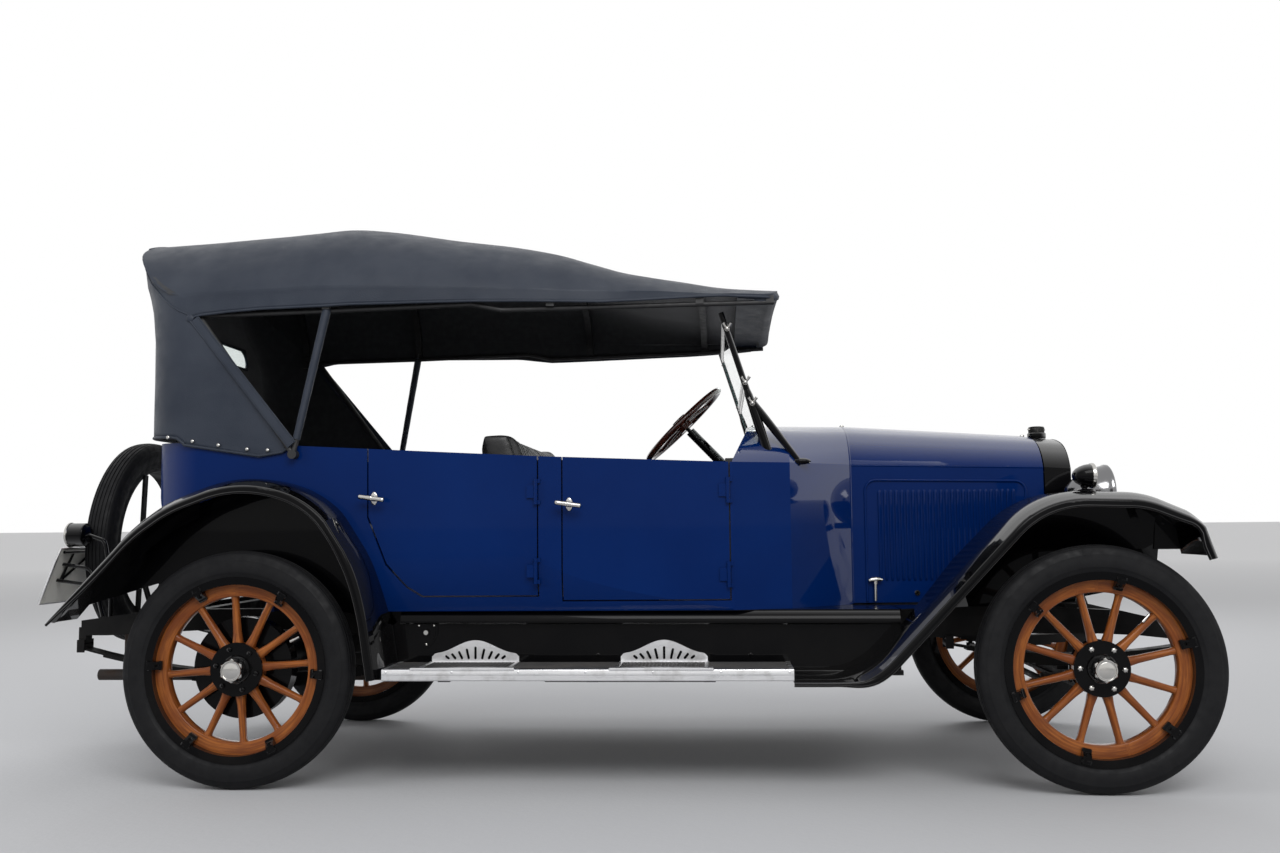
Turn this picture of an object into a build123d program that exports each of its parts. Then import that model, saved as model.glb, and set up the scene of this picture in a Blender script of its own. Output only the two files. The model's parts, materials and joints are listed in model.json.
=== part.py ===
from build123d import *
import os
from math import cos, radians, sin

os.makedirs("parts", exist_ok=True)

# A touring car of the 1920s, in millimetres. X points forward, Y to the car's left, Z up.
# The origin is on the ground, under the middle of the car's length and width. The sizes below are
# drawn from a point SHIFT behind it, and save() moves every piece forward by that much.
SHIFT = 50

# Wheels and axles
WHEELBASE = 2916
TRACK = 1420
TYRE_R = 406.5
TYRE_WIDTH = 105
REAR_X = -1300
FRONT_X = REAR_X + WHEELBASE
AXLE_Z = TYRE_R

# Clearances
FIT = 0.3       # between pieces that rest on each other
RUN = 0.05      # round a shaft in its bore
SWING = 5       # round a piece that moves

# Wooden wheels
RIM_SEAT_R = 304
RIM_LIP_R = 318
RIM_WIDTH = 96
RIM_LIP = 4.7
FELLOE_OUT_R = 291
FELLOE_IN_R = 249
FELLOE_WIDTH = 44
SPOKES = 12
SPOKE_FACES = 12
SPOKE_ROOT = (15, 19)
SPOKE_TIP = (11, 14)
NAVE_R = 80
LUGS = 6
LUG_WIDTH = 28
BARREL_R = 38
FLANGE_R = 92
FLANGE_T = 8
SPINDLE_R = 17
HUB_INNER = 52
HUB_OUTER = 62
HUB_CAP_FLATS = 36
HUB_CAP_T = 13
DRUM_R = 175
DRUM_DEPTH = 57
DRUM_T = 6
FRONT_SPOKE_TURN = 17
FRONT_LUG_TURN = 13
REAR_SPOKE_TURN = 25.5
REAR_LUG_TURN = 33

# Steering
KINGPIN_Y = 610
KINGPIN_R = 11
BOSS_R = 24
BOSS_H = 52
EAR_T = 14
YOKE_GAP = 4
ARM_T = 12
TIE_ARM = 150
TIE_DROP = 56
TIE_R = 11
JOINT_PIN_R = 9
EYE_R = 18
BALL_ARM = 185
PITMAN = 180
PITMAN_X = 950
PITMAN_Z = 560
PITMAN_SHAFT_R = 14
COLUMN_Y = 312
COLUMN_ANGLE = 46
WHEEL_HUB = (220, 1318)
STEER_RIM_R = 208
STEER_TUBE_R = 13

# Frame
RAIL_TOP = 594.7
RAIL_DEPTH = 120
RAIL_W = 45
RAIL_T = 5
RAIL_OUT_REAR = 472.5
RAIL_OUT_FRONT = 380
NARROW_FROM = 400
NARROW_TO = 850
FRAME_REAR = -2005
RAIL_REAR_TOP = 555
RAIL_LEVEL_FROM = -1700
FRAME_FRONT = 2060
POWER_BED = 500
REAR_CROSS_TOP = 562

# Body
WALL = 30
SKIN = 4
BODY_HALF = 670
BODY_FRONT_HALF = 632
BODY_FOOT = 595
BODY_REAR = -1703
COWL_X = 416
HOOD_X = 850
HOOD_FRONT = 1570
CORNER_R = 230
TUCK_R = 370
TUCK_FOOT = 780
TURN_UNDER = 40
TURN_FROM = 800
FLOOR_T = 25
DOOR_GAP = SWING
HINGE_OUT = 8
DOOR_PIN_R = 7
DOOR_BARREL = 60
DOOR_LUG = 14
DOOR_LUG_REACH = 7.7
STRIP_HALF = 8
HOOD_PIN_R = 4
CROWN_JOIN = (0.62, 0.79)
CROWN_MID = (0.854, 0.489)

# Fenders, boards and aprons
SHEET = 4
FENDER_OUT = 830
FENDER_LIP = 50
BOARD_TOP = 412
BOARD_T = 32
BOARD_IN = 604.3
BOARD_X = (-764.7, 606)
APRON_Y = 600
APRON_REAR = -810
VALANCE_Y = 434
VALANCE_LEAN = 86 / 405
TUNNEL_END = 1250
REAR_FENDER_IN = 615

# Number plate
PLATE_T = 3

# Windshield
GLASS_T = 6
POST_R = 10
POST_Y = 530
POST_FOOT = (554, 1120)
POST_TOP = (386, 1648)

# Top
CLOTH = 6
TOP_TUBE_R = 10
TOP_PIVOT = (-1130, 690, 1150)
SLANT_TOP = (-1490, 645, 1645)
EDGE_SET = 20


VIEWS = {
    "side": ((1, 0, 0), (0, -1, 0), (0, 1, 0)),
    "front": ((0, 1, 0), (1, 0, 0), (1, 0, 0)),
    "top": ((1, 0, 0), (0, 0, 1), (0, 0, 1)),
}


def outline(view, at, points, radii=None):
    """A closed face drawn in the side (x, z), front (y, z) or top (x, y) view, at a depth."""
    x_dir, z_dir, away = VIEWS[view]
    plane = Plane(Vector(*away) * at, x_dir=x_dir, z_dir=z_dir)
    if radii is None:
        line = Polyline(*points, close=True)
    else:
        line = FilletPolyline(*points, radius=radii, close=True)
    return plane * make_face(line)


def slab(view, low, high, points, radii=None):
    """An outline made solid from one depth to another."""
    face = outline(view, low, points, radii)
    return extrude(face, amount=high - low, dir=VIEWS[view][2])


def block(x, y, z):
    """A box given by its (low, high) limits."""
    middle = ((x[0] + x[1]) / 2, (y[0] + y[1]) / 2, (z[0] + z[1]) / 2)
    return Pos(*middle) * Box(x[1] - x[0], y[1] - y[0], z[1] - z[0])


def bar(start, end, radius):
    """A straight round bar between two points."""
    low, high = Vector(*start), Vector(*end)
    return Part(Solid.make_cylinder(radius, (high - low).length, Plane(low, z_dir=high - low)).wrapped)


def bent(points, radius, bends):
    """A round bar along straight runs joined by arcs."""
    path = FilletPolyline(*points, radius=bends)
    return sweep(Plane(path @ 0, z_dir=path % 0) * Circle(radius), path)


def turned(points, radii=None):
    """A ring turned about the Y axis from a section of (y, radius) points."""
    return revolve(outline("front", 0, points, radii), axis=Axis.Y)


def mirrored(shape):
    """The same piece on the other side of the car."""
    return mirror(shape, about=Plane.XZ)


def save(node, *shapes):
    """Move a node to the origin's frame and write it; its solids stay separate."""
    solids = [solid.moved(Location((SHIFT, 0, 0))) for shape in shapes for solid in shape.solids()]
    whole = solids[0] if len(solids) == 1 else Compound(solids)
    export_step(whole, f"parts/{node}.step")


def arch(x, half, foot, shoulder, crown):
    """A section across the car: upright sides and a crown with rounded shoulders."""
    rise = crown - shoulder
    join = (half * CROWN_JOIN[0], shoulder + rise * CROWN_JOIN[1])
    mid = (half * CROWN_MID[0], shoulder + rise * CROWN_MID[1])
    sides = Polyline((half, shoulder), (half, foot), (-half, foot), (-half, shoulder))
    left = ThreePointArc((half, shoulder), mid, join)
    top = ThreePointArc(join, (0, crown), (-join[0], join[1]))
    right = ThreePointArc((-join[0], join[1]), (-mid[0], mid[1]), (-half, shoulder))
    plane = Plane((x, 0, 0), x_dir=(0, 1, 0), z_dir=(1, 0, 0))
    return plane * make_face(sides + left + top + right)


def arches(stations, inset, drop=0):
    """A form through sections (x, half, foot, shoulder, crown), taken in all round by inset."""
    sections = [
        arch(x, half - inset, foot - drop, shoulder - inset, crown - inset)
        for x, half, foot, shoulder, crown in stations
    ]
    return loft(sections, ruled=True)


# Wheels. Each is drawn at the origin with its outer face towards +Y.

def tyre():
    half = RIM_WIDTH / 2 - RIM_LIP - FIT
    section = [
        (-half, RIM_SEAT_R + FIT),
        (half, RIM_SEAT_R + FIT),
        (half, RIM_LIP_R + FIT),
        (TYRE_WIDTH / 2, 352),
        (TYRE_WIDTH * 0.27, TYRE_R),
        (-TYRE_WIDTH * 0.27, TYRE_R),
        (-TYRE_WIDTH / 2, 352),
        (-half, RIM_LIP_R + FIT),
    ]
    return turned(section)


def rim(lug_turn):
    half = RIM_WIDTH / 2
    ring = turned([
        (-half, FELLOE_OUT_R + FIT),
        (half, FELLOE_OUT_R + FIT),
        (half, RIM_LIP_R),
        (half - RIM_LIP, RIM_LIP_R),
        (half - RIM_LIP, RIM_SEAT_R),
        (-half + RIM_LIP, RIM_SEAT_R),
        (-half + RIM_LIP, RIM_LIP_R),
        (-half, RIM_LIP_R),
    ])
    face = FELLOE_WIDTH / 2 + FIT
    lug = slab("front", -LUG_WIDTH / 2, LUG_WIDTH / 2, [
        (face, FELLOE_IN_R + 20),
        (face + 13, FELLOE_IN_R + 20),
        (half + 6, FELLOE_OUT_R - 5),
        (half + 6, RIM_LIP_R - 6),
        (half, RIM_LIP_R - 6),
        (half, FELLOE_OUT_R - 1),
        (face, FELLOE_OUT_R - 1),
    ])
    for k in range(LUGS):
        ring += Rot(0, lug_turn + 360 / LUGS * k, 0) * lug
    return ring


def spoked_wheel(spoke_turn):
    half = FELLOE_WIDTH / 2
    wood = turned([(-half, FELLOE_IN_R), (half, FELLOE_IN_R), (half, FELLOE_OUT_R), (-half, FELLOE_OUT_R)])
    bore = BARREL_R + FIT
    wood += turned([(-half, bore), (half, bore), (half, NAVE_R), (-half, NAVE_R)])
    sections = []
    for z, (half_x, half_y) in ((NAVE_R - 12, SPOKE_ROOT), (FELLOE_IN_R + 3, SPOKE_TIP)):
        turns = [radians(360 / SPOKE_FACES * (k + 0.5)) for k in range(SPOKE_FACES)]
        ring = [(half_x * cos(turn), half_y * sin(turn)) for turn in turns]
        sections.append(Plane((0, 0, z)) * make_face(Polyline(*ring, close=True)))
    spoke = loft(sections, ruled=True)
    for k in range(SPOKES):
        wood += Rot(0, spoke_turn + 360 / SPOKES * k, 0) * spoke
    return wood


def hub(braked):
    face = FELLOE_WIDTH / 2 + FIT
    bore = SPINDLE_R + RUN
    body = turned([
        (-HUB_INNER, bore),
        (HUB_OUTER - 14, bore),
        (HUB_OUTER - 14, 0),
        (HUB_OUTER, 0),
        (HUB_OUTER, BARREL_R - 4),
        (face + FLANGE_T, BARREL_R - 4),
        (face + FLANGE_T, FLANGE_R),
        (face, FLANGE_R),
        (face, BARREL_R),
        (-face, BARREL_R),
        (-face, FLANGE_R),
        (-face - FLANGE_T, FLANGE_R),
        (-face - FLANGE_T, BARREL_R),
        (-HUB_INNER, BARREL_R),
    ])
    cap = Plane((0, HUB_OUTER, 0), x_dir=(1, 0, 0), z_dir=(0, 1, 0)) * RegularPolygon(
        HUB_CAP_FLATS, 6, major_radius=False
    )
    body += extrude(cap, amount=HUB_CAP_T, dir=(0, 1, 0))
    if braked:
        back = -face - FLANGE_T
        body += turned([
            (back + 1, BARREL_R + 20),
            (back + 1, DRUM_R),
            (back - DRUM_DEPTH, DRUM_R),
            (back - DRUM_DEPTH, DRUM_R - DRUM_T),
            (back - DRUM_T, DRUM_R - DRUM_T),
            (back - DRUM_T, BARREL_R + 20),
        ])
    return body


def wheels():
    places = [
        # name, x, left side, spoke turn, lug turn, braked
        ("front_left", FRONT_X, True, FRONT_SPOKE_TURN, FRONT_LUG_TURN, False),
        ("front_right", FRONT_X, False, FRONT_SPOKE_TURN, FRONT_LUG_TURN, False),
        ("rear_left", REAR_X, True, REAR_SPOKE_TURN, REAR_LUG_TURN, True),
        ("rear_right", REAR_X, False, REAR_SPOKE_TURN, REAR_LUG_TURN, True),
    ]
    tyre_form = tyre()
    for name, x, left, spoke_turn, lug_turn, braked in places:
        at = Pos(x, TRACK / 2, AXLE_Z)
        pieces = {
            "tyre": [at * tyre_form],
            "spokes": [at * spoked_wheel(spoke_turn)],
            "hub": [at * rim(lug_turn), at * hub(braked)],
        }
        for kind, shapes in pieces.items():
            save(f"{kind}_{name}", *[s if left else mirrored(s) for s in shapes])


# Running gear

def front_axle():
    bottom, top = 315.3, 375.3
    boss_low = AXLE_Z - BOSS_H / 2
    boss_high = AXLE_Z + BOSS_H / 2
    side = [(590, boss_high - 4), (545, 402), (485, top), (-485, top), (-545, 402), (-590, boss_high - 4)]
    side += [(-590, boss_low + 4), (-575, boss_low + 4), (-540, 340), (-500, bottom)]
    side += [(500, bottom), (540, 340), (575, boss_low + 4), (590, boss_low + 4)]
    beam = slab("front", FRONT_X - 22, FRONT_X + 22, side)
    for x in (FRONT_X - 22, FRONT_X + 10):
        beam -= block((x, x + 12), (-470, 470), (bottom + 12, top - 12))
    for y in (-KINGPIN_Y, KINGPIN_Y):
        boss = Pos(FRONT_X, y, AXLE_Z) * Cylinder(BOSS_R, BOSS_H)
        beam = beam + boss - Pos(FRONT_X, y, AXLE_Z) * Cylinder(KINGPIN_R + RUN, BOSS_H + 10)
    for y in (-FRONT_SPRING_Y, FRONT_SPRING_Y):
        beam += block((FRONT_X - 50, FRONT_X + 50), (y - 30, y + 30), (top - 12, top))
    save("front_axle", beam)


def rear_axle():
    tube_r = 40
    plate_y = TRACK / 2 - FELLOE_WIDTH / 2 - FLANGE_T - DRUM_DEPTH + 1
    axle = bar((REAR_X, -plate_y, AXLE_Z), (REAR_X, plate_y, AXLE_Z), tube_r)
    axle += Pos(REAR_X, 0, AXLE_Z) * Sphere(130)
    axle += bar((REAR_X, 0, AXLE_Z), (TORQUE_END[0] - SWING, 0, TORQUE_END[1]), 38)
    spindle_end = TRACK / 2 + HUB_OUTER - 16
    axle += bar((REAR_X, -spindle_end, AXLE_Z), (REAR_X, spindle_end, AXLE_Z), SPINDLE_R)
    for side in (-1, 1):
        y = side * plate_y
        plate_r = DRUM_R - DRUM_T - SWING - 1
        axle += bar((REAR_X, y, AXLE_Z), (REAR_X, y + side * 4, AXLE_Z), plate_r)
        pad = side * REAR_SPRING_Y
        axle += block((REAR_X - 30, REAR_X + 30), (pad - 30, pad + 30), (REAR_SPRING_TOP + 2 * FIT, AXLE_Z - 20))
    save("rear_axle", axle)


def leaf_spring(x, y, low, half_span, rise, leaves):
    """A pack of curved leaves with its top one rolled into eyes at both ends."""
    leaf_t = 7
    width = 57
    radius = (half_span ** 2 + rise ** 2) / (2 * rise)
    pack = None
    for n in range(leaves):
        reach = half_span * (1 - n / leaves * 0.85)
        top_r = radius + leaf_t * n
        centre = low + leaves * leaf_t + radius
        leaf = Cylinder(top_r + leaf_t + 0.1, width) - Cylinder(top_r, width + 2)
        leaf = Pos(x, y, centre) * Rot(90, 0, 0) * leaf
        leaf = leaf & block((x - reach, x + reach), (y - width, y + width), (low - 20, low + rise + 100))
        pack = leaf if pack is None else pack + leaf
    for end in (-1, 1):
        eye_x = x + end * half_span
        eye_z = low + leaves * leaf_t + rise
        pack += bar((eye_x, y - width / 2, eye_z), (eye_x, y + width / 2, eye_z), SPRING_EYE_R)
    return pack


FRONT_SPRING_Y = 357.5
FRONT_SPRING_LOW = 375.6
FRONT_SPRING_LEAVES = 6
FRONT_SPRING_HALF = 425
FRONT_SPRING_RISE = 38
REAR_SPRING_Y = 450
REAR_SPRING_LEAVES = 7
REAR_SPRING_LOW = 314
REAR_SPRING_TOP = REAR_SPRING_LOW + 7 * REAR_SPRING_LEAVES
REAR_SPRING_HALF = 700
REAR_SPRING_RISE = 94
SPRING_EYE_R = 15
SPRING_EYE_TOP = FRONT_SPRING_LOW + 7 * FRONT_SPRING_LEAVES + FRONT_SPRING_RISE + SPRING_EYE_R + FIT
TORQUE_END = (330, 545)


def leaf_springs():
    front = leaf_spring(
        FRONT_X, FRONT_SPRING_Y, FRONT_SPRING_LOW, FRONT_SPRING_HALF, FRONT_SPRING_RISE, FRONT_SPRING_LEAVES
    )
    rear = leaf_spring(
        REAR_X, REAR_SPRING_Y, REAR_SPRING_LOW, REAR_SPRING_HALF, REAR_SPRING_RISE, REAR_SPRING_LEAVES
    )
    save("leaf_springs", front, mirrored(front), rear, mirrored(rear))


def frame():
    low = RAIL_TOP - RAIL_DEPTH
    plan = [
        (FRAME_REAR, RAIL_OUT_REAR), (NARROW_FROM, RAIL_OUT_REAR),
        (NARROW_TO, RAIL_OUT_FRONT), (FRAME_FRONT, RAIL_OUT_FRONT),
        (FRAME_FRONT, RAIL_OUT_FRONT - RAIL_W), (NARROW_TO, RAIL_OUT_FRONT - RAIL_W),
        (NARROW_FROM, RAIL_OUT_REAR - RAIL_W), (FRAME_REAR, RAIL_OUT_REAR - RAIL_W),
    ]
    side = [
        (FRAME_REAR, RAIL_REAR_TOP), (RAIL_LEVEL_FROM, RAIL_TOP), (1350, RAIL_TOP), (1800, 570), (1990, 525),
        (FRAME_FRONT, 495),
        (FRAME_FRONT, SPRING_EYE_TOP), (1960, SPRING_EYE_TOP), (1860, 482), (1700, low + 15), (1400, low + 15),
        (1100, low),
        (-700, low), (-1150, 520), (-1500, 520), (-1900, 500), (FRAME_REAR, 500),
    ]
    web = slab("top", 400, 640, plan) & slab("side", 0, 700, side)
    pocket = Pos(0, -RAIL_T, 0) * slab("top", 400, 640, plan) & slab("side", 0, 700, [
        (FRAME_REAR - 10, 545), (RAIL_LEVEL_FROM, RAIL_TOP - RAIL_T), (1340, RAIL_TOP - RAIL_T), (1780, 562),
        (1900, 535), (1860, 500), (1400, low + 20), (1100, low + RAIL_T), (-700, low + RAIL_T),
        (-1150, 525), (-1500, 525), (-1900, 505), (FRAME_REAR - 10, 505),
    ])
    rail = web - pocket
    hole = PITMAN_SHAFT_R + 1.5
    rail -= bar((PITMAN_X, 300, PITMAN_Z), (PITMAN_X, 420, PITMAN_Z), hole)
    for x in BRACKETS_X:
        rail += slab("front", x - 20, x + 20, [
            (RAIL_OUT_REAR - 1, 575), (RAIL_OUT_REAR - 1, 490), (500, BOARD_TOP - BOARD_T - FIT - 8),
            (FENDER_OUT - 30, BOARD_TOP - BOARD_T - FIT - 8), (FENDER_OUT - 30, BOARD_TOP - BOARD_T - FIT),
            (510, BOARD_TOP - BOARD_T - FIT), (RAIL_OUT_REAR + 10, 500), (RAIL_OUT_REAR + 8, 575),
        ])
    # spring hangers
    eye = REAR_SPRING_LOW + 7 * REAR_SPRING_LEAVES + REAR_SPRING_RISE + SPRING_EYE_R + FIT
    for x in (REAR_X - REAR_SPRING_HALF, REAR_X + REAR_SPRING_HALF):
        rail += block((x - 14, x + 14), (REAR_SPRING_Y - 22, REAR_SPRING_Y + 22), (eye, 530))
    x = FRONT_X - FRONT_SPRING_HALF
    rail += block((x - 14, x + 14), (FRONT_SPRING_Y - 22, FRONT_SPRING_Y + 22), (SPRING_EYE_TOP, 500))
    # forked ends round the spring eyes
    fork = 57 / 2 + FIT
    for x, y in (
        (FRONT_X + FRONT_SPRING_HALF, FRONT_SPRING_Y), (FRONT_X - FRONT_SPRING_HALF, FRONT_SPRING_Y),
        (REAR_X + REAR_SPRING_HALF, REAR_SPRING_Y), (REAR_X - REAR_SPRING_HALF, REAR_SPRING_Y),
    ):
        top = SPRING_EYE_TOP if y == FRONT_SPRING_Y else eye
        rail += block((x - 14, x + 14), (y - fork - 5, y + fork + 5), (top, top + 12))
        for side in (-1, 1):
            low_y, high_y = sorted((y + side * fork, y + side * (fork + 5)))
            rail += block((x - 14, x + 14), (low_y, high_y), (top - 34, top + 12))
    half = rail
    rails = half + mirrored(half)
    crosses = [
        # x, low z, high z, half width
        (-1912, 503, REAR_CROSS_TOP, RAIL_OUT_REAR - 2),
        (-1560, 545, RAIL_TOP, RAIL_OUT_REAR - 2),
        (-550, 525, RAIL_TOP, RAIL_OUT_REAR - 2),
        (350, low, POWER_BED - FIT, RAIL_OUT_REAR - 2),
        (1180, low, POWER_BED - FIT, RAIL_OUT_FRONT - 2),
        (1625, 525, RAIL_TOP, RAIL_OUT_FRONT - 2),
    ]
    for x, z_low, z_high, half_width in crosses:
        rails += block((x - 22, x + 22), (-half_width, half_width), (z_low, z_high))
    rails -= bar((1600, 0, CRANK_Z), (1700, 0, CRANK_Z), CRANK_R)
    save("frame", rails)


BRACKETS_X = (-560, -60, 330)
CRANK_Z = 560
CRANK_R = 16


def power_unit():
    unit = block((860, 1500), (-190, 190), (POWER_BED, 980))
    unit += block((TORQUE_END[0] + FIT, 860), (-130, 130), (POWER_BED, 588))
    save("engine_block", unit)


def exhaust():
    y = -300
    tail = bar((-2020, y, 335), (-300, y, 335), 21)
    tail += bar((-300, y, 335), (350, y, 335), 68)
    tail += bent([(340, y, 335), (620, y, 335), (1010, -215, 640), (1010, -215, 820)], 21, [80, 60])
    tail += bar((1010, -215, 800), (1010, -190 - FIT, 800), 21)
    for x in (-1912, -280):
        top = 503 - FIT if x < -1000 else 525 - FIT
        tail += block((x - 12, x + 12), (y - 4, y + 4), (345, top)) if x < -1000 else block(
            (-562, -538), (y - 4, y + 4), (345, top)
        )
    save("exhaust", tail)


# Steering gear

def steering():
    upper = BOSS_H / 2 + FIT
    ear_low, ear_high = upper, upper + EAR_T
    web_in = BOSS_R + YOKE_GAP
    web_out = web_in + 12
    knuckle = block((-22, 22), (web_in, web_out), (-ear_high, ear_high))
    for side in (-1, 1):
        low, high = sorted((side * ear_low, side * ear_high))
        knuckle += Pos(0, 0, (low + high) / 2) * Cylinder(BOSS_R - 1, high - low)
        knuckle += block((-20, 20), (0, web_in + 1), (low, high))
    knuckle += Cylinder(KINGPIN_R, 2 * ear_high + 8)
    knuckle += bar((0, web_out - 1, 0), (0, TRACK / 2 - KINGPIN_Y + HUB_OUTER - 16, 0), SPINDLE_R)
    arm_high = -ear_high + ARM_T
    knuckle += block((-TIE_ARM, 0), (-12, 12), (-ear_high, arm_high))
    knuckle += Pos(-TIE_ARM, 0, (-ear_high + arm_high) / 2) * Cylinder(EYE_R, ARM_T)
    knuckle += bar((-TIE_ARM, 0, -ear_high + 1), (-TIE_ARM, 0, -TIE_DROP - 12), JOINT_PIN_R)
    ball_arm = block((-13, 13), (-BALL_ARM, 0), (ear_high - ARM_T, ear_high))
    ball_arm += Pos(0, -BALL_ARM, ear_high - ARM_T / 2) * Cylinder(EYE_R, ARM_T)
    at = Pos(FRONT_X, KINGPIN_Y, AXLE_Z)
    save("knuckle_left", at * (knuckle + ball_arm))
    save("knuckle_right", mirrored(at * knuckle))

    tie_x = FRONT_X - TIE_ARM
    tie_z = AXLE_Z - TIE_DROP
    tie = bar((tie_x, -KINGPIN_Y + EYE_R - 3, tie_z), (tie_x, KINGPIN_Y - EYE_R + 3, tie_z), TIE_R)
    for y in (-KINGPIN_Y, KINGPIN_Y):
        tie += Pos(tie_x, y, tie_z) * Cylinder(EYE_R, 20)
        tie -= Pos(tie_x, y, tie_z) * Cylinder(JOINT_PIN_R + RUN, 40)
    save("tie_rod", tie)

    arm_y = RAIL_OUT_FRONT + SWING + 1
    pitman = bar((PITMAN_X, 300, PITMAN_Z), (PITMAN_X, arm_y + ARM_T, PITMAN_Z), PITMAN_SHAFT_R)
    pitman += bar((PITMAN_X, arm_y, PITMAN_Z), (PITMAN_X, arm_y + ARM_T, PITMAN_Z), 26)
    end_z = PITMAN_Z - PITMAN
    pitman += block((PITMAN_X - 12, PITMAN_X + 12), (arm_y, arm_y + ARM_T), (end_z, PITMAN_Z))
    pitman += bar((PITMAN_X, arm_y, end_z), (PITMAN_X, arm_y + ARM_T, end_z), EYE_R)
    pitman += bar((PITMAN_X, arm_y, end_z), (PITMAN_X, LINK_Y + 16, end_z), JOINT_PIN_R)
    save("pitman_arm", pitman)

    front_z = AXLE_Z + ear_high + SWING + 1 + 9
    link = bar((PITMAN_X, LINK_Y - 11, end_z), (PITMAN_X, LINK_Y + 11, end_z), EYE_R)
    link += bar((PITMAN_X, LINK_Y, end_z), (FRONT_X, LINK_Y, front_z), 10)
    link += Pos(FRONT_X, LINK_Y, front_z) * Cylinder(EYE_R, 18)
    link -= bar((PITMAN_X, LINK_Y - 30, end_z), (PITMAN_X, LINK_Y + 30, end_z), JOINT_PIN_R + RUN)
    save("drag_link", link)

    down = (cos(radians(COLUMN_ANGLE)), -sin(radians(COLUMN_ANGLE)))
    hub_x, hub_z = WHEEL_HUB

    def along(distance):
        return (hub_x + down[0] * distance, COLUMN_Y, hub_z + down[1] * distance)

    length = (hub_z - PITMAN_Z - 30) / -down[1]
    column = bar(along(40), along(length), 20) + bar(along(-10), along(60), JOINT_PIN_R)
    box_x = along(length)[0]
    column += block((PITMAN_X - 60, box_x + 30), (RAIL_OUT_FRONT - RAIL_W - 62, RAIL_OUT_FRONT - RAIL_W - FIT),
                    (PITMAN_Z - 45, PITMAN_Z + 60))
    column -= bar((PITMAN_X, 290, PITMAN_Z), (PITMAN_X, 420, PITMAN_Z), PITMAN_SHAFT_R + RUN)
    save("steering_column", column)

    rim_plane = Plane(along(0), x_dir=(0, 1, 0), z_dir=(-down[0], 0, -down[1]))
    wheel = rim_plane * Torus(STEER_RIM_R, STEER_TUBE_R)
    wheel += rim_plane * Pos(0, 0, 5) * Cylinder(34, 56)
    for k in range(4):
        spoke = bar((0, 0, 6), (STEER_RIM_R, 0, 0), 8)
        wheel += rim_plane * Rot(0, 0, 45 + 90 * k) * spoke
    wheel -= bar(along(-12), along(60), JOINT_PIN_R + RUN)
    save("steering_wheel", wheel)


LINK_Y = KINGPIN_Y - BALL_ARM


# Body

BELT = [
    # x, z
    (BODY_REAR, 1204), (-1112, 1181), (-260, 1134), (COWL_X, 1108),
]
DOORS = [
    # name, rear x, front x, foot z, rear lower corner
    ("rear", -870, -260, 645, [(-867, 924), (-801, 759), (-729, 679), (-676, 645)]),
    ("front", -180, 408, 628, [(-180, 628)]),
]


def tub_form(inset, drop=0):
    """The outside of the open body, taken in by inset, with its floor lowered by drop."""
    half = BODY_HALF - inset
    front_half = BODY_FRONT_HALF - inset
    rear = BODY_REAR + inset
    plan = slab("top", 400, 1300, [
        (rear, -half), (-260, -half), (COWL_X + 300, -front_half + 17), (COWL_X + 300, front_half - 17),
        (-260, half), (rear, half),
    ], [CORNER_R - inset, 3000, 0, 0, 3000, CORNER_R - inset])
    foot = BODY_FOOT - drop
    step_x = -1250 + inset
    side = slab("side", -700, 700, [(x, z) for x, z in [(rear, 1204)] + BELT[1:]] + [
        (COWL_X, foot), (step_x, foot), (step_x, TUCK_FOOT + inset), (rear, TUCK_FOOT + inset),
    ], [0, 0, 0, 0, 0, 0, 0, TUCK_R - inset])
    turn = (TURN_FROM - BODY_FOOT) ** 2 / (2 * TURN_UNDER)
    across = Polyline(
        (-half + TURN_UNDER, foot), (half - TURN_UNDER, foot)
    ) + ThreePointArc(
        (half - TURN_UNDER, foot), (half - TURN_UNDER * 0.28, BODY_FOOT + (TURN_FROM - BODY_FOOT) * 0.47), (half, TURN_FROM)
    ) + Polyline((half, TURN_FROM), (half, 1300), (-half, 1300), (-half, TURN_FROM)) + ThreePointArc(
        (-half, TURN_FROM), (-half + TURN_UNDER * 0.28, BODY_FOOT + (TURN_FROM - BODY_FOOT) * 0.47), (-half + TURN_UNDER, foot)
    )
    plane = Plane((-2000, 0, 0), x_dir=(0, 1, 0), z_dir=(1, 0, 0))
    front = extrude(plane * make_face(across), amount=3000, dir=(1, 0, 0))
    left = plan & side & front & block((-2000, 800), (0, 700), (400, 1300))
    return left + mirrored(left)


def open_tub():
    """The body wall all round, open at the top and, ahead of the rear seat, at the bottom."""
    inner = tub_form(WALL, drop=60)
    lift = Pos(0, 0, 40) * tub_form(WALL, drop=60)
    return tub_form(0) - inner - lift


def door_outline(rear_x, front_x, foot, corner, gap):
    points = [(rear_x + gap, 1250), (front_x - gap, 1250), (front_x - gap, foot + gap)]
    for x, z in reversed(corner):
        points.append((x + gap, z + gap))
    return points


def fender_path(points, radii):
    return FilletPolyline(*[(x, 0, z) for x, z in points], radius=radii)


REAR_FENDER = [(-2000, 512), (-1630, 930), (-1270, 1060), (-1025, 985), (-810, 660), (BOARD_X[0] - FIT, 385)]
REAR_FENDER_BENDS = [650, 450, 280, 600]
FRONT_FENDER = [(BOARD_X[1] + FIT, 379.5), (833, 379.5), (1417, 995), (1760, 985), (1935, 915), (1992, 730)]
FRONT_FENDER_BENDS = [260, 340, 300, 90]


def under_path(points, radii, low, y_low, y_high):
    """Everything below a fender's crown line, down to a level."""
    path = fender_path(points, radii)
    first, last = points[0], points[-1]
    close = Polyline((last[0], 0, last[1]), (last[0], 0, low), (first[0], 0, low), (first[0], 0, first[1]))
    face = make_face(path.edges() + close.edges())
    return Pos(0, y_low, 0) * extrude(face, amount=y_high - y_low, dir=(0, 1, 0))


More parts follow.
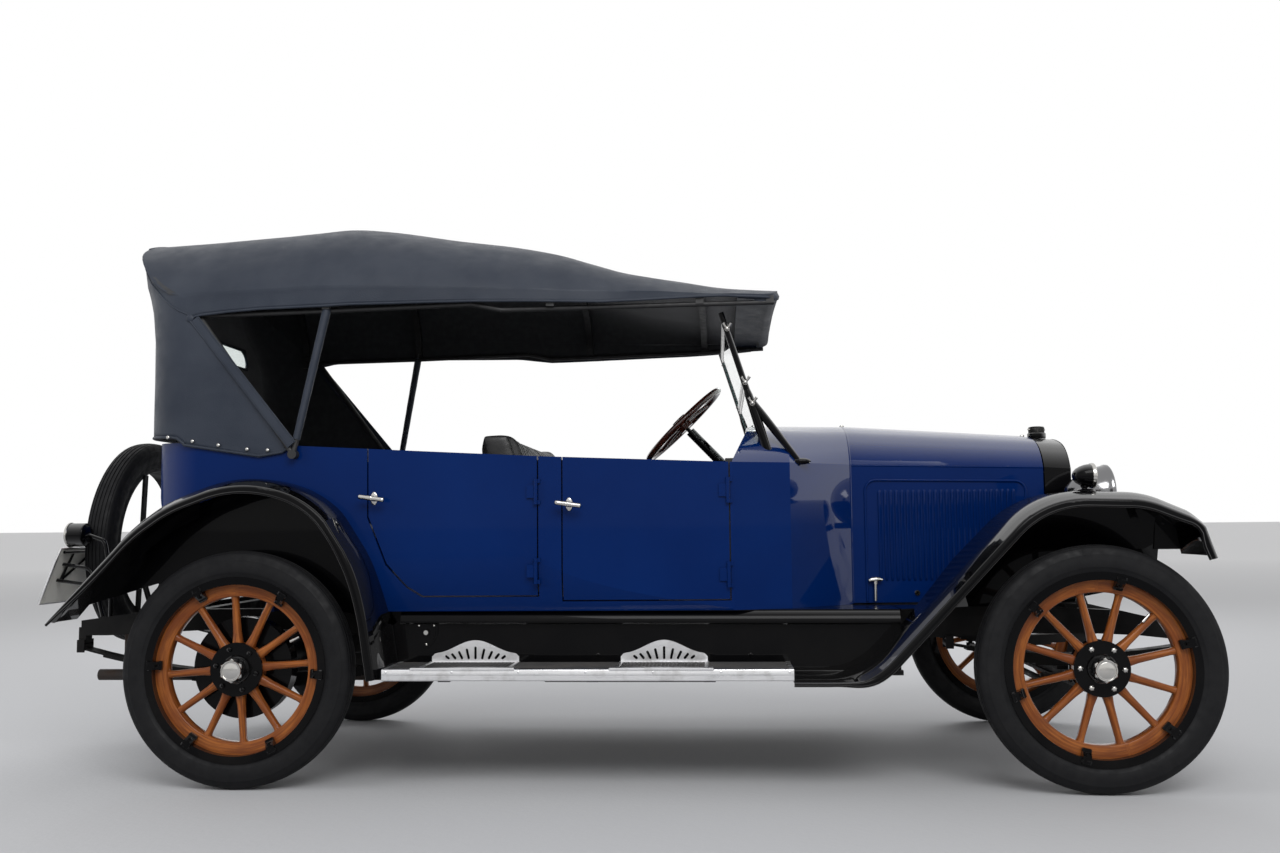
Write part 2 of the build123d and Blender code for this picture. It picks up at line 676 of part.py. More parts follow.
def fender_crown(points, radii, inner):
    """The crowned strip of a fender, swept along its crown line."""
    path = fender_path(points, radii)
    out = FENDER_OUT
    section = FilletPolyline(
        (inner, 0), (out - 60, 0), (out, -28), (out, -FENDER_LIP),
        (out - SHEET, -FENDER_LIP), (out - SHEET, -30), (out - 61, -SHEET), (inner, -SHEET),
        radius=[0, 150, 15, 0, 0, 11, 146, 0], close=True,
    )
    plane = Plane(path @ 0, x_dir=(0, 1, 0), z_dir=path % 0)
    return sweep(plane * make_face(section), path)


def body():
    shell = open_tub()
    arch_cut = under_path(REAR_FENDER, REAR_FENDER_BENDS, 500, REAR_FENDER_IN - 5, 700)
    arch_cut = Pos(0, 0, FIT) * arch_cut
    shell = shell - arch_cut - mirrored(arch_cut)
    tub = shell
    for name, rear_x, front_x, foot, corner in DOORS:
        opening = slab("side", 0, 800, door_outline(rear_x, front_x, foot, corner, 0))
        panel = slab("side", 0, 800, door_outline(rear_x, front_x, foot, corner, DOOR_GAP))
        door = shell & panel
        tub = tub - opening - mirrored(opening)
        handle_x = rear_x + 28
        handle_z = 992 if name == "rear" else 965
        skin = BODY_HALF if name == "rear" else BODY_HALF - 4
        door += bar((handle_x, skin - 8, handle_z), (handle_x, skin + 38, handle_z), 7)
        door += bar((handle_x - 42, skin + 38, handle_z + 6), (handle_x + 42, skin + 38, handle_z - 6), 8)
        for z in (foot + 90, 1010):
            leaf, lugs = door_hinge(front_x, z)
            door += leaf
            tub = tub + lugs + mirrored(lugs)
        save(f"door_{name}_left", door)
        save(f"door_{name}_right", mirrored(door))
    save("body_tub", tub)

    boards = slab("top", BODY_FOOT, BODY_FOOT + FLOOR_T, [
        (-1000, -596), (-260, -596), (COWL_X, -560), (COWL_X, 560), (-260, 596), (-1000, 596),
    ])
    front_part = arches(COWL_STATIONS, SKIN + FIT, drop=10)
    room = arches(COWL_STATIONS, WALL + FIT, drop=10) & block((COWL_X, COWL_X + 40), (-700, 700), (500, 1300))
    room += front_part & block((COWL_X + 40, HOOD_X), (-700, 700), (500, 1300))
    toe = slab("side", -700, 700, [
        (COWL_X - 1, BODY_FOOT), (640, BODY_FOOT), (820, 800), (802, 818), (628, BODY_FOOT + FLOOR_T),
        (COWL_X - 1, BODY_FOOT + FLOOR_T),
    ])
    boards += room & toe
    boards += block((-255, 150), (-560, 560), (BODY_FOOT + FLOOR_T - 1, 800 - FIT))
    boards += block((-1000, -960), (-590, 590), (BODY_FOOT + FLOOR_T - 1, 800 - FIT))
    boards -= bar((420, COLUMN_Y, 1318 - 207), (900, COLUMN_Y, 1318 - 704), 23)
    save("floor", boards)


def door_hinge(front_x, z):
    """A door's barrel and strap, and the body's two lugs that the barrel turns between."""
    x = front_x - SWING - 3
    out = hinge_y(front_x)
    leaf = bar((x, out, z - DOOR_BARREL / 2), (x, out, z + DOOR_BARREL / 2), DOOR_PIN_R)
    leaf += block((front_x - 40, x), (out - HINGE_OUT - 14, out), (z - 22, z + 22))
    lugs = None
    for low in (z + DOOR_BARREL / 2 + FIT, z - DOOR_BARREL / 2 - FIT - DOOR_LUG):
        high = low + DOOR_LUG
        lug = bar((x, out, low), (x, out, high), DOOR_PIN_R)
        lug += block((x, front_x + DOOR_LUG_REACH), (out - DOOR_PIN_R, out), (low, high))
        lug += block((front_x + 0.5, front_x + DOOR_LUG_REACH), (out - 22, out), (low, high))
        lugs = lug if lugs is None else lugs + lug
    return leaf, lugs


def hinge_y(x):
    """Where a door's hinge line stands, just outside the body's side."""
    share = max(0, (x + 260) / (COWL_X + 300 + 260))
    return BODY_HALF - share * (BODY_HALF - BODY_FRONT_HALF + 17) + HINGE_OUT


COWL_STATIONS = [
    # x, half width, foot, shoulder, crown
    (COWL_X, BODY_FRONT_HALF, BODY_FOOT, 1108, 1275),
    (620, 560, BODY_FOOT, 1107, 1274),
    (HOOD_X - FIT, 366, BODY_FOOT, 1106, 1272),
]
HOOD_GAP = 7
HOOD_FOOT = RAIL_TOP + SWING
HOOD_PIN_Y = STRIP_HALF + FIT + HOOD_PIN_R
HOOD_TOP_PIN = ((HOOD_X + HOOD_GAP, HOOD_PIN_Y, 1270), (HOOD_FRONT, HOOD_PIN_Y, 1222))
HOOD_SIDE_PIN = ((HOOD_X + HOOD_GAP, 350, 1103.5), (HOOD_FRONT, 283, 1090.5))
HOOD_STATIONS = [
    (HOOD_X + HOOD_GAP, 352, HOOD_FOOT, 1106, 1272),
    (HOOD_FRONT, 285, HOOD_FOOT, 1093, 1224),
]


def cowl():
    outer = arches(COWL_STATIONS, 0)
    shell = outer - (arches(COWL_STATIONS, SKIN, drop=20))
    ring = outer - arches(COWL_STATIONS, WALL, drop=20)
    shell += ring & block((COWL_X, COWL_X + 40), (-700, 700), (500, 1300))
    shell += outer & block((HOOD_X - 8, HOOD_X), (-700, 700), (500, 1300))
    shell = shell - bar((420, COLUMN_Y, 1318 - 207), (960, COLUMN_Y, 1318 - 766), 23)
    strip = slab("side", -STRIP_HALF, STRIP_HALF, [
        (HOOD_X - 6, 1262), (HOOD_X - 6, 1270), (HOOD_FRONT + SWING - FIT, 1222), (HOOD_FRONT + SWING - FIT, 1214),
    ])
    save("cowl", shell + strip)
    board = arches(COWL_STATIONS, SKIN + FIT) & block((480, 500), (-700, 700), (950, 1300))
    board -= bar((300, COLUMN_Y, 1318 - 83), (700, COLUMN_Y, 1318 - 497), 23)
    save("dashboard", board)


def hood():
    outer = arches(HOOD_STATIONS, 0)
    skin = outer - arches(
        [(HOOD_X - 20, 354.4, HOOD_FOOT, 1106.5, 1273.8), (HOOD_FRONT + 20, 282.6, HOOD_FOOT, 1092.5, 1222.2)],
        3, drop=20
    )
    (x_rear, _, z_rear), (x_front, _, z_front) = HOOD_SIDE_PIN
    slope = (z_front - z_rear) / (x_front - x_rear)
    line = [(x, z_rear + (x - x_rear) * slope) for x in (x_rear - 10, x_front + 10)]
    above = slab("side", 0, 700, [(x, z + HOOD_PIN_R + FIT) for x, z in line] + [
        (x_front + 10, 1400), (x_rear - 10, 1400),
    ])
    below = slab("side", 0, 700, [(x, z - 2) for x, z in line] + [(x_front + 10, 400), (x_rear - 10, 400)])
    side_of_strip = block((HOOD_X, HOOD_FRONT + 10), (STRIP_HALF + SWING, 700), (400, 1400))
    top = (skin & above & side_of_strip) + bar(*HOOD_TOP_PIN, HOOD_PIN_R)
    side = (skin & below & side_of_strip) + bar(*HOOD_SIDE_PIN, HOOD_PIN_R)
    save("hood_top_left", top)
    save("hood_top_right", mirrored(top))
    save("hood_side_left", side)
    save("hood_side_right", mirrored(side))


RADIATOR_X = (HOOD_FRONT + SWING, 1670)


def radiator():
    stations = [
        (RADIATOR_X[0], 284, RAIL_TOP + FIT, 1092, 1220),
        (RADIATOR_X[1], 276, RAIL_TOP + FIT, 1086, 1212),
    ]
    shell = arches(stations, 0)
    shell -= arches([(1600, 240, 640, 1080, 1176), (1700, 240, 640, 1080, 1176)], 0)
    core = arches([(1612, 239.7, 640.3, 1079.7, 1175.7), (1650, 239.7, 640.3, 1079.7, 1175.7)], 0)
    cap = bar((1625, 0, 1216), (1625, 0, 1238), 34) + bar((1625, 0, 1236), (1625, 0, 1262), 30)
    save("radiator", shell + cap, core)


def windshield():
    foot_x, foot_z = POST_FOOT
    top_x, top_z = POST_TOP
    lean = Vector(top_x - foot_x, 0, top_z - foot_z).normalized()

    def on_post(height, y):
        share = (height - foot_z) / (top_z - foot_z)
        return (foot_x + (top_x - foot_x) * share, y, height)

    frame_piece = None
    for side in (-1, 1):
        y = side * POST_Y
        post = bar(on_post(1080, y), on_post(top_z, y), POST_R)
        brace = bar(on_post(1337, y), (661, y, 1100), 8)
        post += brace
        frame_piece = post if frame_piece is None else frame_piece + post
    for height in (1200, 1395, 1628):
        frame_piece += bar(on_post(height, -POST_Y), on_post(height, POST_Y), 8)
    frame_piece -= arches(COWL_STATIONS, -FIT)
    save("windshield_frame", frame_piece)

    panes = []
    for low, high in ((1215, 1380), (1410, 1613)):
        a, b = on_post(low, 0), on_post(high, 0)
        normal = Vector(-lean.Z, 0, lean.X)
        half = normal * (GLASS_T / 2)
        points = [
            (a[0] - half.X, a[2] - half.Z), (b[0] - half.X, b[2] - half.Z),
            (b[0] + half.X, b[2] + half.Z), (a[0] + half.X, a[2] + half.Z),
        ]
        inner = POST_Y - POST_R - FIT
        panes.append(slab("side", -inner, inner, points) - arches(COWL_STATIONS, -SWING))
    save("windshield_glass", *panes)


# Fenders, boards and aprons

def fenders():
    crown = fender_crown(REAR_FENDER, REAR_FENDER_BENDS, REAR_FENDER_IN)
    inner = under_path(REAR_FENDER, REAR_FENDER_BENDS, 480, REAR_FENDER_IN, REAR_FENDER_IN + SHEET)
    inner = inner & block((-1990, -700), (500, 700), (480, 1100))
    rear = crown + inner
    rear -= block((BOARD_X[0] - FIT, -600), (500, 900), (300, 600))
    save("rear_fenders", rear, mirrored(rear))

    under = under_path(FRONT_FENDER, FRONT_FENDER_BENDS, 300, 0, 900)
    crown = fender_crown(FRONT_FENDER, FRONT_FENDER_BENDS, VALANCE_Y) & wheel_side(300)
    wall = wheel_side(RAIL_TOP - 20) - Pos(0, SHEET, 0) * wheel_side(RAIL_TOP - 50)
    wall = wall & under & block((900, 1950), (0, 900), (RAIL_TOP, 1100))
    shelf = slab("top", RAIL_TOP - SHEET, RAIL_TOP, [
        (990, RAIL_OUT_FRONT + FIT), (1500, RAIL_OUT_FRONT + FIT), (1500, VALANCE_Y + 2), (TUNNEL_END, VALANCE_Y + 2),
        (1000, APRON_Y + 4), (990, APRON_Y + 4),
    ])
    front = crown + wall + shelf
    save("front_fenders", front, mirrored(front))


def wheel_side(low):
    """The room outboard of a front fender's inner wall, which leans out as it rises."""
    high = 1100
    lean = slab("front", 500, 2100, [
        (VALANCE_Y, low), (VALANCE_Y, RAIL_TOP), (VALANCE_Y + (high - RAIL_TOP) * VALANCE_LEAN, high),
        (900, high), (900, low),
    ])
    plan = slab("top", low, high, [
        (500, APRON_Y + SHEET + 10), (1000, APRON_Y + SHEET), (TUNNEL_END, VALANCE_Y), (2100, VALANCE_Y - 1),
        (2100, 900), (500, 900),
    ])
    return lean & plan


def boards_and_aprons():
    low = BOARD_TOP - BOARD_T
    board = block(BOARD_X, (BOARD_IN, FENDER_OUT), (low, BOARD_TOP))
    save("running_boards", board, mirrored(board))
    apron = block((APRON_REAR, 985), (APRON_Y, APRON_Y + SHEET), (low + 5, RAIL_TOP))
    ledge = slab("top", RAIL_TOP - SHEET, RAIL_TOP, [
        (APRON_REAR, RAIL_OUT_REAR + FIT), (NARROW_FROM, RAIL_OUT_REAR + FIT),
        (NARROW_TO, RAIL_OUT_FRONT + FIT), (985, RAIL_OUT_FRONT + FIT), (985, APRON_Y + 1),
        (APRON_REAR, APRON_Y + 1),
    ])
    apron += ledge
    for x in BRACKETS_X:
        apron -= block((x - 22, x + 22), (400, 700), (300, low + 60))
    save("aprons", apron, mirrored(apron))


# Lamps, plate and spare wheel

def lamps():
    lamp_y = 400
    lamp_x, lamp_z = 1715, 985
    profile = [(0, 0), (150, 0), (150, 100), (135, 105), (95, 90), (30, 55), (0, 28)]
    head = revolve(outline("side", 0, profile, [0, 0, 0, 0, 60, 25, 0]), axis=Axis.X)
    pair = None
    for y in (-lamp_y, lamp_y):
        lamp = Pos(lamp_x - 70, y, lamp_z) * head
        lamp += bar((lamp_x, y, 880), (lamp_x, y, lamp_z - 60), 14)
        pair = lamp if pair is None else pair + lamp
    reach = VALANCE_Y + (867 - RAIL_TOP) * VALANCE_LEAN - FIT
    pair += bar((lamp_x, -reach, 880), (lamp_x, reach, 880), 13)
    save("headlamps", pair)

    side_lamps = []
    for side in (-1, 1):
        x, y, z = 1600, side * 680, 1043
        lamp = revolve(outline("side", 0, [(0, 0), (75, 0), (75, 40), (50, 40), (0, 12)], [0, 0, 0, 30, 8]),
                       axis=Axis.X)
        lamp = Pos(x - 40, y, z) * lamp
        lamp += bar((x, y, 950), (x, y, z - 20), 9)
        lamp -= arches_of_fender()
        side_lamps.append(lamp)
    save("side_lamps", *[max(l.solids(), key=lambda s: s.bounding_box().max.Z) for l in side_lamps])


def arches_of_fender():
    """The space taken by the front fenders' crowns, with a little more all round."""
    crown = Pos(0, 0, FIT) * under_path(FRONT_FENDER, FRONT_FENDER_BENDS, 300, VALANCE_Y, 900)
    return crown + mirrored(crown)


def above_rail(shape):
    """The piece, ended where it stands on the rear of the frame."""
    slope = (RAIL_TOP - RAIL_REAR_TOP) / (RAIL_LEVEL_FROM - FRAME_REAR)
    start = FRAME_REAR - 95
    return shape - slab("side", -700, 700, [
        (start, RAIL_REAR_TOP - 95 * slope + FIT), (RAIL_LEVEL_FROM, RAIL_TOP + FIT), (RAIL_LEVEL_FROM, 300),
        (start, 300),
    ])


def rear_lamp_and_plate():
    y = -462
    lamp = revolve(outline("side", 0, [(0, 0), (70, 0), (70, 30), (60, 44), (0, 44)], [0, 0, 8, 8, 0]), axis=Axis.X)
    lamp = Pos(-2060, y, 872) * lamp
    lamp += bent([(-1995, y, 872), (-1930, y, 850), (-1900, y, 700), (-1900, y, 555)], 8, [30, 60])
    save("tail_lamp", above_rail(lamp))

    lean = 78 / 210
    top_x, top_z, low_z = -2078, 824, 614
    low_x = top_x - (top_z - low_z) * lean
    plate = slab("side", -500, -160, [
        (top_x - PLATE_T, top_z + 1), (low_x - PLATE_T, low_z + 1), (low_x, low_z), (top_x, top_z),
    ])
    bracket = bent([(-2120, -440, 765), (-1990, -440, 745), (-1942, -440, 550)], 7, 40)
    bracket += bar((-2160, -440, 708), (-1975, -440, 680), 7)
    behind = slab("side", -600, 0, [
        (top_x + FIT + 100 * lean, top_z + 100), (low_x + FIT - 100 * lean, low_z - 100), (-2400, low_z - 100),
        (-2400, top_z + 100),
    ])
    save("number_plate", plate, above_rail(bracket - behind))


def spare():
    lean = 2
    at = Pos(-2000, 0, 840) * Rot(0, lean, 0) * Rot(0, 0, -90)
    save("spare_tyre", at * tyre())
    ring = turned([
        (-RIM_WIDTH / 2 + RIM_LIP, 292), (RIM_WIDTH / 2 - RIM_LIP, 292),
        (RIM_WIDTH / 2 - RIM_LIP, RIM_SEAT_R), (-RIM_WIDTH / 2 + RIM_LIP, RIM_SEAT_R),
    ])
    arm_x = 1.5 * RIM_LIP + 30
    for side in (-1, 1):
        ring += block((side * 120 - 14, side * 120 + 14), (arm_x, arm_x + 10), (-270, 270))
    carrier = at * ring
    for side in (-1, 1):
        carrier += bar((-1958, side * 120, 720), (-1912, side * 120, 580), 11)
        carrier += block((-1927, -1897), (side * 120 - 15, side * 120 + 15), (REAR_CROSS_TOP + FIT, 590))
    save("spare_carrier", carrier)


# Inside

def seats():
    cushion = block((-300, 190), (-570, 570), (800, 930))
    back = slab("side", -570, 570, [(-290, 800), (-275, 930), (-390, 1242), (-500, 1230), (-400, 800)], 20)
    save("front_seat", cushion + back)
    cushion = block((-1480, -960), (-590, 590), (800, 930))
    back = slab("side", -590, 590, [(-1560, 815), (-1480, 800), (-1475, 930), (-1540, 1210), (-1640, 1210), (-1640, 1100)], 10)
    save("rear_seat", (cushion + back) & tub_form(WALL + FIT))


def controls():
    lever = bent([(380, 0, 640), (370, 0, 800), (250, 0, 990)], 8, [60]) + Pos(250, 0, 990) * Sphere(20)
    lever += bar((380, 0, BODY_FOOT + FLOOR_T + FIT), (380, 0, 650), 30)
    brake = bent([(420, 90, 640), (400, 90, 800), (300, 90, 960)], 9, [60])
    brake += bar((420, 90, BODY_FOOT + FLOOR_T + FIT), (420, 90, 650), 22)
    save("controls", lever, brake)


# Folding top

TOP_STATIONS = [
    # x, half width, lower edge, shoulder, crown
    (-1809, 645, 1640, 1730, 2030),
    (-1028, 672, 1690, 1760, 2080),
    (-220, 660, 1686, 1730, 1943),
    (310, 622, 1690, 1712, 1794),
    (590, 585, 1695, 1708, 1772),
]


BACK_STATIONS = [
    # z, rear x, half width
    (1120, -1710, 676.5),
    (1222, -1710, 676.5),
    (1580, -1719, 668),
    (1790, -1779, 656),
    (1955, -1808, 646),
]


def curtain_form(inset, low):
    """The upright back of the top, rounded at its corners and closed above under the roof."""
    faces = []
    for z, rear, half in BACK_STATIONS:
        z = low if z == BACK_STATIONS[0][0] else z
        h = half - inset
        faces.append(outline("top", z, [(rear + inset, -h), (-1000, -h), (-1000, h), (rear + inset, h)],
                             [CORNER_R - inset, 0, 0, CORNER_R - inset]))
    lid = arches([(-1860, 690, 1000, 1695, 1990), (-990, 690, 1000, 1725, 2040)], inset)
    return loft(faces, ruled=True) & lid


def top():
    round_back = slab("top", 1000, 2200, [
        (-1809, -680), (700, -680), (700, 680), (-1809, 680),
    ], [CORNER_R, 0, 0, CORNER_R])
    round_inner = Pos(CLOTH, 0, 0) * round_back
    outer = (arches(TOP_STATIONS, 0) & round_back) + curtain_form(0, 1120)
    inner_stations = [list(station) for station in TOP_STATIONS]
    inner_stations[-1][0] -= 2 * CLOTH
    cloth = outer - (arches(inner_stations, CLOTH, drop=30) & round_inner)
    cloth -= Pos(0.1, 0, 0) * curtain_form(CLOTH, 1110)
    foot, head = TOP_PIVOT, SLANT_TOP
    cloth -= slab("side", -900, 900, [
        (foot[0] - EDGE_SET, 1000), (foot[0] - EDGE_SET, foot[2]), (head[0] - EDGE_SET, head[2]), (-1028, 1688),
        (700, 1688), (700, 1000),
    ])
    cloth -= slab("side", -900, 900, [
        (-1900, 1000), (-1900, 1222), (-1614, 1216), (-1587, 1198), (-1257, 1144), (-1166, 1160), (-1000, 1190),
        (-1000, 1000),
    ])
    save("top_fabric", cloth)

    gap = CLOTH + FIT
    depth = 20
    ribs = None
    for x in (-1560, -1028, -220, 310, 560):
        ring = arches(inner_stations, gap + FIT, drop=18) - arches(inner_stations, gap + depth, drop=60)
        rib = ring & block((x - 14, x + 14), (-700, 700), (1500, 2100))
        ribs = rib if ribs is None else ribs + rib
    rails = [
        # x, y, z of one end, then of the other
        (-1560, 632, 1660, -1028, 640, 1669),
        (-1028, 640, 1669, -505, 638, 1683),
        (-505, 638, 1683, -397, 637, 1660),
        (-397, 637, 1660, 310, 602, 1672),
        (310, 602, 1672, 575, 568, 1680),
    ]
    for side in (-1, 1):
        for x, y, z, x_end, y_end, z_end in rails:
            ribs += bar((x, side * y, z), (x_end, side * y_end, z_end), 9)
        pivot = (TOP_PIVOT[0], side * TOP_PIVOT[1], TOP_PIVOT[2])
        head = (SLANT_TOP[0], side * SLANT_TOP[1], SLANT_TOP[2])
        ribs += bar(pivot, (-1028, side * 644, 1700), TOP_TUBE_R)
        ribs += bar(pivot, head, TOP_TUBE_R)
        ribs += bar(head, (-1560, side * 632, 1690), TOP_TUBE_R)
        ribs += bar((pivot[0], side * (BODY_HALF + FIT), pivot[2]), (pivot[0], side * 702, pivot[2]), 16)
    save("top_frame", ribs)


wheels()
front_axle()
rear_axle()
leaf_springs()
frame()
power_unit()
exhaust()
steering()
body()
cowl()
hood()
radiator()
windshield()
fenders()
boards_and_aprons()
lamps()
rear_lamp_and_plate()
spare()
seats()
controls()
top()
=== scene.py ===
import json
from math import cos, pi, radians, sin, sqrt, tan, tau

import bmesh
import bpy
import numpy as np
from mathutils import Matrix, Vector, noise

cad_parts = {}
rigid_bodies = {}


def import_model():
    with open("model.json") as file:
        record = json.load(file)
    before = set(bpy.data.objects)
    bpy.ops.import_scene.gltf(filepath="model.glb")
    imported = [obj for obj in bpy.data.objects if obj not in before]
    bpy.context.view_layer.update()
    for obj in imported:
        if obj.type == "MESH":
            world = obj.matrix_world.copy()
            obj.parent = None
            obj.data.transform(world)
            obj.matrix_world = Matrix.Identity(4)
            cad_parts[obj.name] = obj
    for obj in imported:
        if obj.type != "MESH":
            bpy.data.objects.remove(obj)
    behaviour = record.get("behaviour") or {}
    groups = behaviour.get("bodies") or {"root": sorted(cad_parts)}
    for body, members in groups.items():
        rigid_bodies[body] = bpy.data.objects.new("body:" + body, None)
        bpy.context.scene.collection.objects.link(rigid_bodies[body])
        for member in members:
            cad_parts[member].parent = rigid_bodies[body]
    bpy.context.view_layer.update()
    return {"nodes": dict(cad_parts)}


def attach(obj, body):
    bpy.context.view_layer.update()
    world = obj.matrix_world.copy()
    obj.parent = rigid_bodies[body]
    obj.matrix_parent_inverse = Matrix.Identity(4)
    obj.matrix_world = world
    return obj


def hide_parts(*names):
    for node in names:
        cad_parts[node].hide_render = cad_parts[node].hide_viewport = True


# The looks of a touring car of the 1920s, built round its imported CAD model.
# Shapes are drawn in millimetres, from a point SHIFT behind the frame's origin, as the CAD is.
SHIFT = 50

for leftover in list(bpy.data.objects):
    bpy.data.objects.remove(leftover)
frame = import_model()
nodes = frame["nodes"]

# Sizes that the CAD gives
REAR_X = -1300
FRONT_X = 1616
WHEEL_Y = 710
AXLE_Z = 406.5

SIDES = (("left", 1), ("right", -1))
BLACK, NICKEL, BLUE, MAT = "black_enamel", "nickel", "body_blue", "board_mat"
ALUMINIUM, LEATHER, CLOTH = "board_aluminium", "seat_leather", "top_cloth"


# Camera, floor and light

LENS = 33.33
CAMERA_AT = (0.4268, -4.7747, 0.8917)
YAW = -0.0678
PITCH = 0.0827
ROLL = -0.0089
FLOOR_HALF = 400
FLOOR_NEAR = (0.45, 0.455, 0.47)
FLOOR_FAR = (0.80, 0.80, 0.81)
LIGHT_LEVEL = 0.62
LAMPS = [
    # name, place, aim, size, power, mirrored in paint
    ("key", (1.5, -6.0, 5.5), (0, 0, 0.8), (5, 3), 330, True),
    ("fill", (-5.5, -3.0, 3.5), (-0.5, 0, 0.8), (3, 3), 90, False),
    ("back", (0, 6.0, 5.0), (0, 0, 0.8), (6, 3), 240, False),
]


def linked(name, data):
    """A new object in the scene."""
    made = bpy.data.objects.new(name, data)
    bpy.context.scene.collection.objects.link(made)
    return made


def add_node(tree, kind, *inputs, **named):
    """A new node, with its settings and its inputs, which are values or other nodes' sockets."""
    made = tree.nodes.new("ShaderNode" + kind)
    for key, value in [*named.items(), *enumerate(inputs)]:
        if isinstance(key, str) and hasattr(made, key):
            setattr(made, key, value)
        elif isinstance(value, bpy.types.NodeSocket):
            tree.links.new(value, made.inputs[key])
        else:
            made.inputs[key].default_value = value
    return made


def make_camera():
    forward = Vector((sin(YAW) * cos(PITCH), cos(YAW) * cos(PITCH), sin(PITCH)))
    flat_right = Vector((cos(YAW), -sin(YAW), 0))
    flat_up = flat_right.cross(forward)
    right = cos(ROLL) * flat_right + sin(ROLL) * flat_up
    up = -sin(ROLL) * flat_right + cos(ROLL) * flat_up
    data = bpy.data.cameras.new("camera")
    data.sensor_width = 36
    data.lens = LENS
    camera = linked("camera", data)
    camera.matrix_world = Matrix.Translation(CAMERA_AT) @ Matrix((right, up, -forward)).transposed().to_4x4()
    bpy.context.scene.camera = camera


def add_lights():
    """Soft rectangular lamps, each facing a point."""
    for name, at, aim, size, power, mirrored_in_paint in LAMPS:
        data = bpy.data.lights.new(name, "AREA")
        data.shape = "RECTANGLE"
        data.size, data.size_y = size
        data.energy = power
        lamp = linked(name, data)
        lamp.location = at
        lamp.visible_glossy = mirrored_in_paint
        lamp.rotation_mode = "QUATERNION"
        lamp.rotation_quaternion = (Vector(aim) - Vector(at)).to_track_quat("-Z", "Y")


def make_world():
    """White where it is seen, mirrored or looked through to, and a little darker as light."""
    world = bpy.data.worlds.new("studio")
    bpy.context.scene.world = world
    world.use_nodes = True
    tree = world.node_tree
    background = tree.nodes["Background"]
    background.inputs["Color"].default_value = (1, 1, 1, 1)
    path = add_node(tree, "LightPath").outputs
    seen = add_node(tree, "Math", path["Is Camera Ray"], path["Is Transmission Ray"], operation="MAXIMUM")
    shown = add_node(tree, "Math", seen.outputs[0], path["Is Glossy Ray"], operation="MAXIMUM")
    level = add_node(tree, "MapRange", shown.outputs[0], 0.0, 1.0, LIGHT_LEVEL, 1.0)
    tree.links.new(level.outputs["Result"], background.inputs["Strength"])


# Finishes

class Finish:
    """A node-built material. Its textures lie in the piece's own space, in metres."""

    def __init__(self, name, colour, rough, metal=0.0, **sockets):
        self.material = bpy.data.materials.new(name)
        self.material.use_nodes = True
        self.tree = self.material.node_tree
        self.shader = self.tree.nodes["Principled BSDF"]
        looks = {"Base Color": (*colour, 1), "Roughness": rough, "Metallic": metal, **sockets}
        for key, value in looks.items():
            self.shader.inputs[key.replace("_", " ")].default_value = value

    def node(self, kind, *inputs, **named):
        return add_node(self.tree, kind, *inputs, **named)

    def product(self, a, b):
        return self.node("Math", a, b, operation="MULTIPLY").outputs[0]

    def into(self, socket, source):
        self.tree.links.new(source, self.shader.inputs[socket])
        return self

    def place(self, stretch=(1, 1, 1), attribute=None):
        if attribute:
            source = self.node("Attribute", attribute_name=attribute).outputs["Vector"]
        else:
            source = self.node("TexCoord").outputs["Object"]
        return self.node("Mapping", Vector=source, Scale=stretch).outputs["Vector"]

    def noise(self, scale, detail=4.0, stretch=(1, 1, 1), rough=0.5, attribute=None):
        where = self.place(stretch, attribute)
        return self.node("TexNoise", Vector=where, Scale=scale, Detail=detail, Roughness=rough).outputs["Fac"]

    def cells(self, scale, feature="F1"):
        return self.node("TexVoronoi", feature=feature, Vector=self.place(), Scale=scale).outputs["Distance"]

    def span(self, value, low, high, to_low=0.0, to_high=1.0):
        return self.node("MapRange", value, low, high, to_low, to_high).outputs["Result"]

    def tint(self, share, colour):
        """Mix another colour over the one so far, by share."""
        base = self.shader.inputs["Base Color"]
        under = base.links[0].from_socket if base.links else base.default_value
        mix = self.node("Mix", data_type="RGBA", Factor=share, A=under, B=(*colour, 1))
        return self.into("Base Color", mix.outputs["Result"])

    def patches(self, texture, low, high, colour, share=1.0):
        """Another colour in patches, where a noise texture lies between two levels."""
        return self.tint(self.span(self.noise(*texture), low, high, 0, share), colour)

    def roughen(self, texture, low, high):
        return self.into("Roughness", self.span(self.noise(*texture), 0.3, 0.7, low, high))

    def emboss(self, height, depth):
        made = self.node("Bump", Height=height, Distance=depth, Strength=1.0)
        normal = self.shader.inputs["Normal"]
        if normal.links:
            self.tree.links.new(normal.links[0].from_socket, made.inputs["Normal"])
        return self.into("Normal", made.outputs["Normal"])

    def bump(self, texture, depth):
        return self.emboss(self.noise(*texture), depth)

    def gloss(self, head_on, grazing, slanted=1.0):
        """Varnish that shines little straight on, most at a slant and less at the very edge."""
        slant = self.node("LayerWeight", Blend=0.5).outputs["Facing"]
        rise = self.span(slant, 0.12, 0.42, head_on, slanted)
        return self.into("Coat Weight", self.product(rise, self.span(slant, 0.55, 0.95, 1.0, grazing)))

    def low_dust(self, top, share):
        """Road dust that thins out upward, to a height in metres."""
        height = self.node("SeparateXYZ", Vector=self.place()).outputs["Z"]
        spots = self.span(self.noise(9, 5), 0.35, 0.7)
        return self.tint(self.product(self.span(height, 0.0, top, share, 0.0), spots), (0.16, 0.14, 0.12))


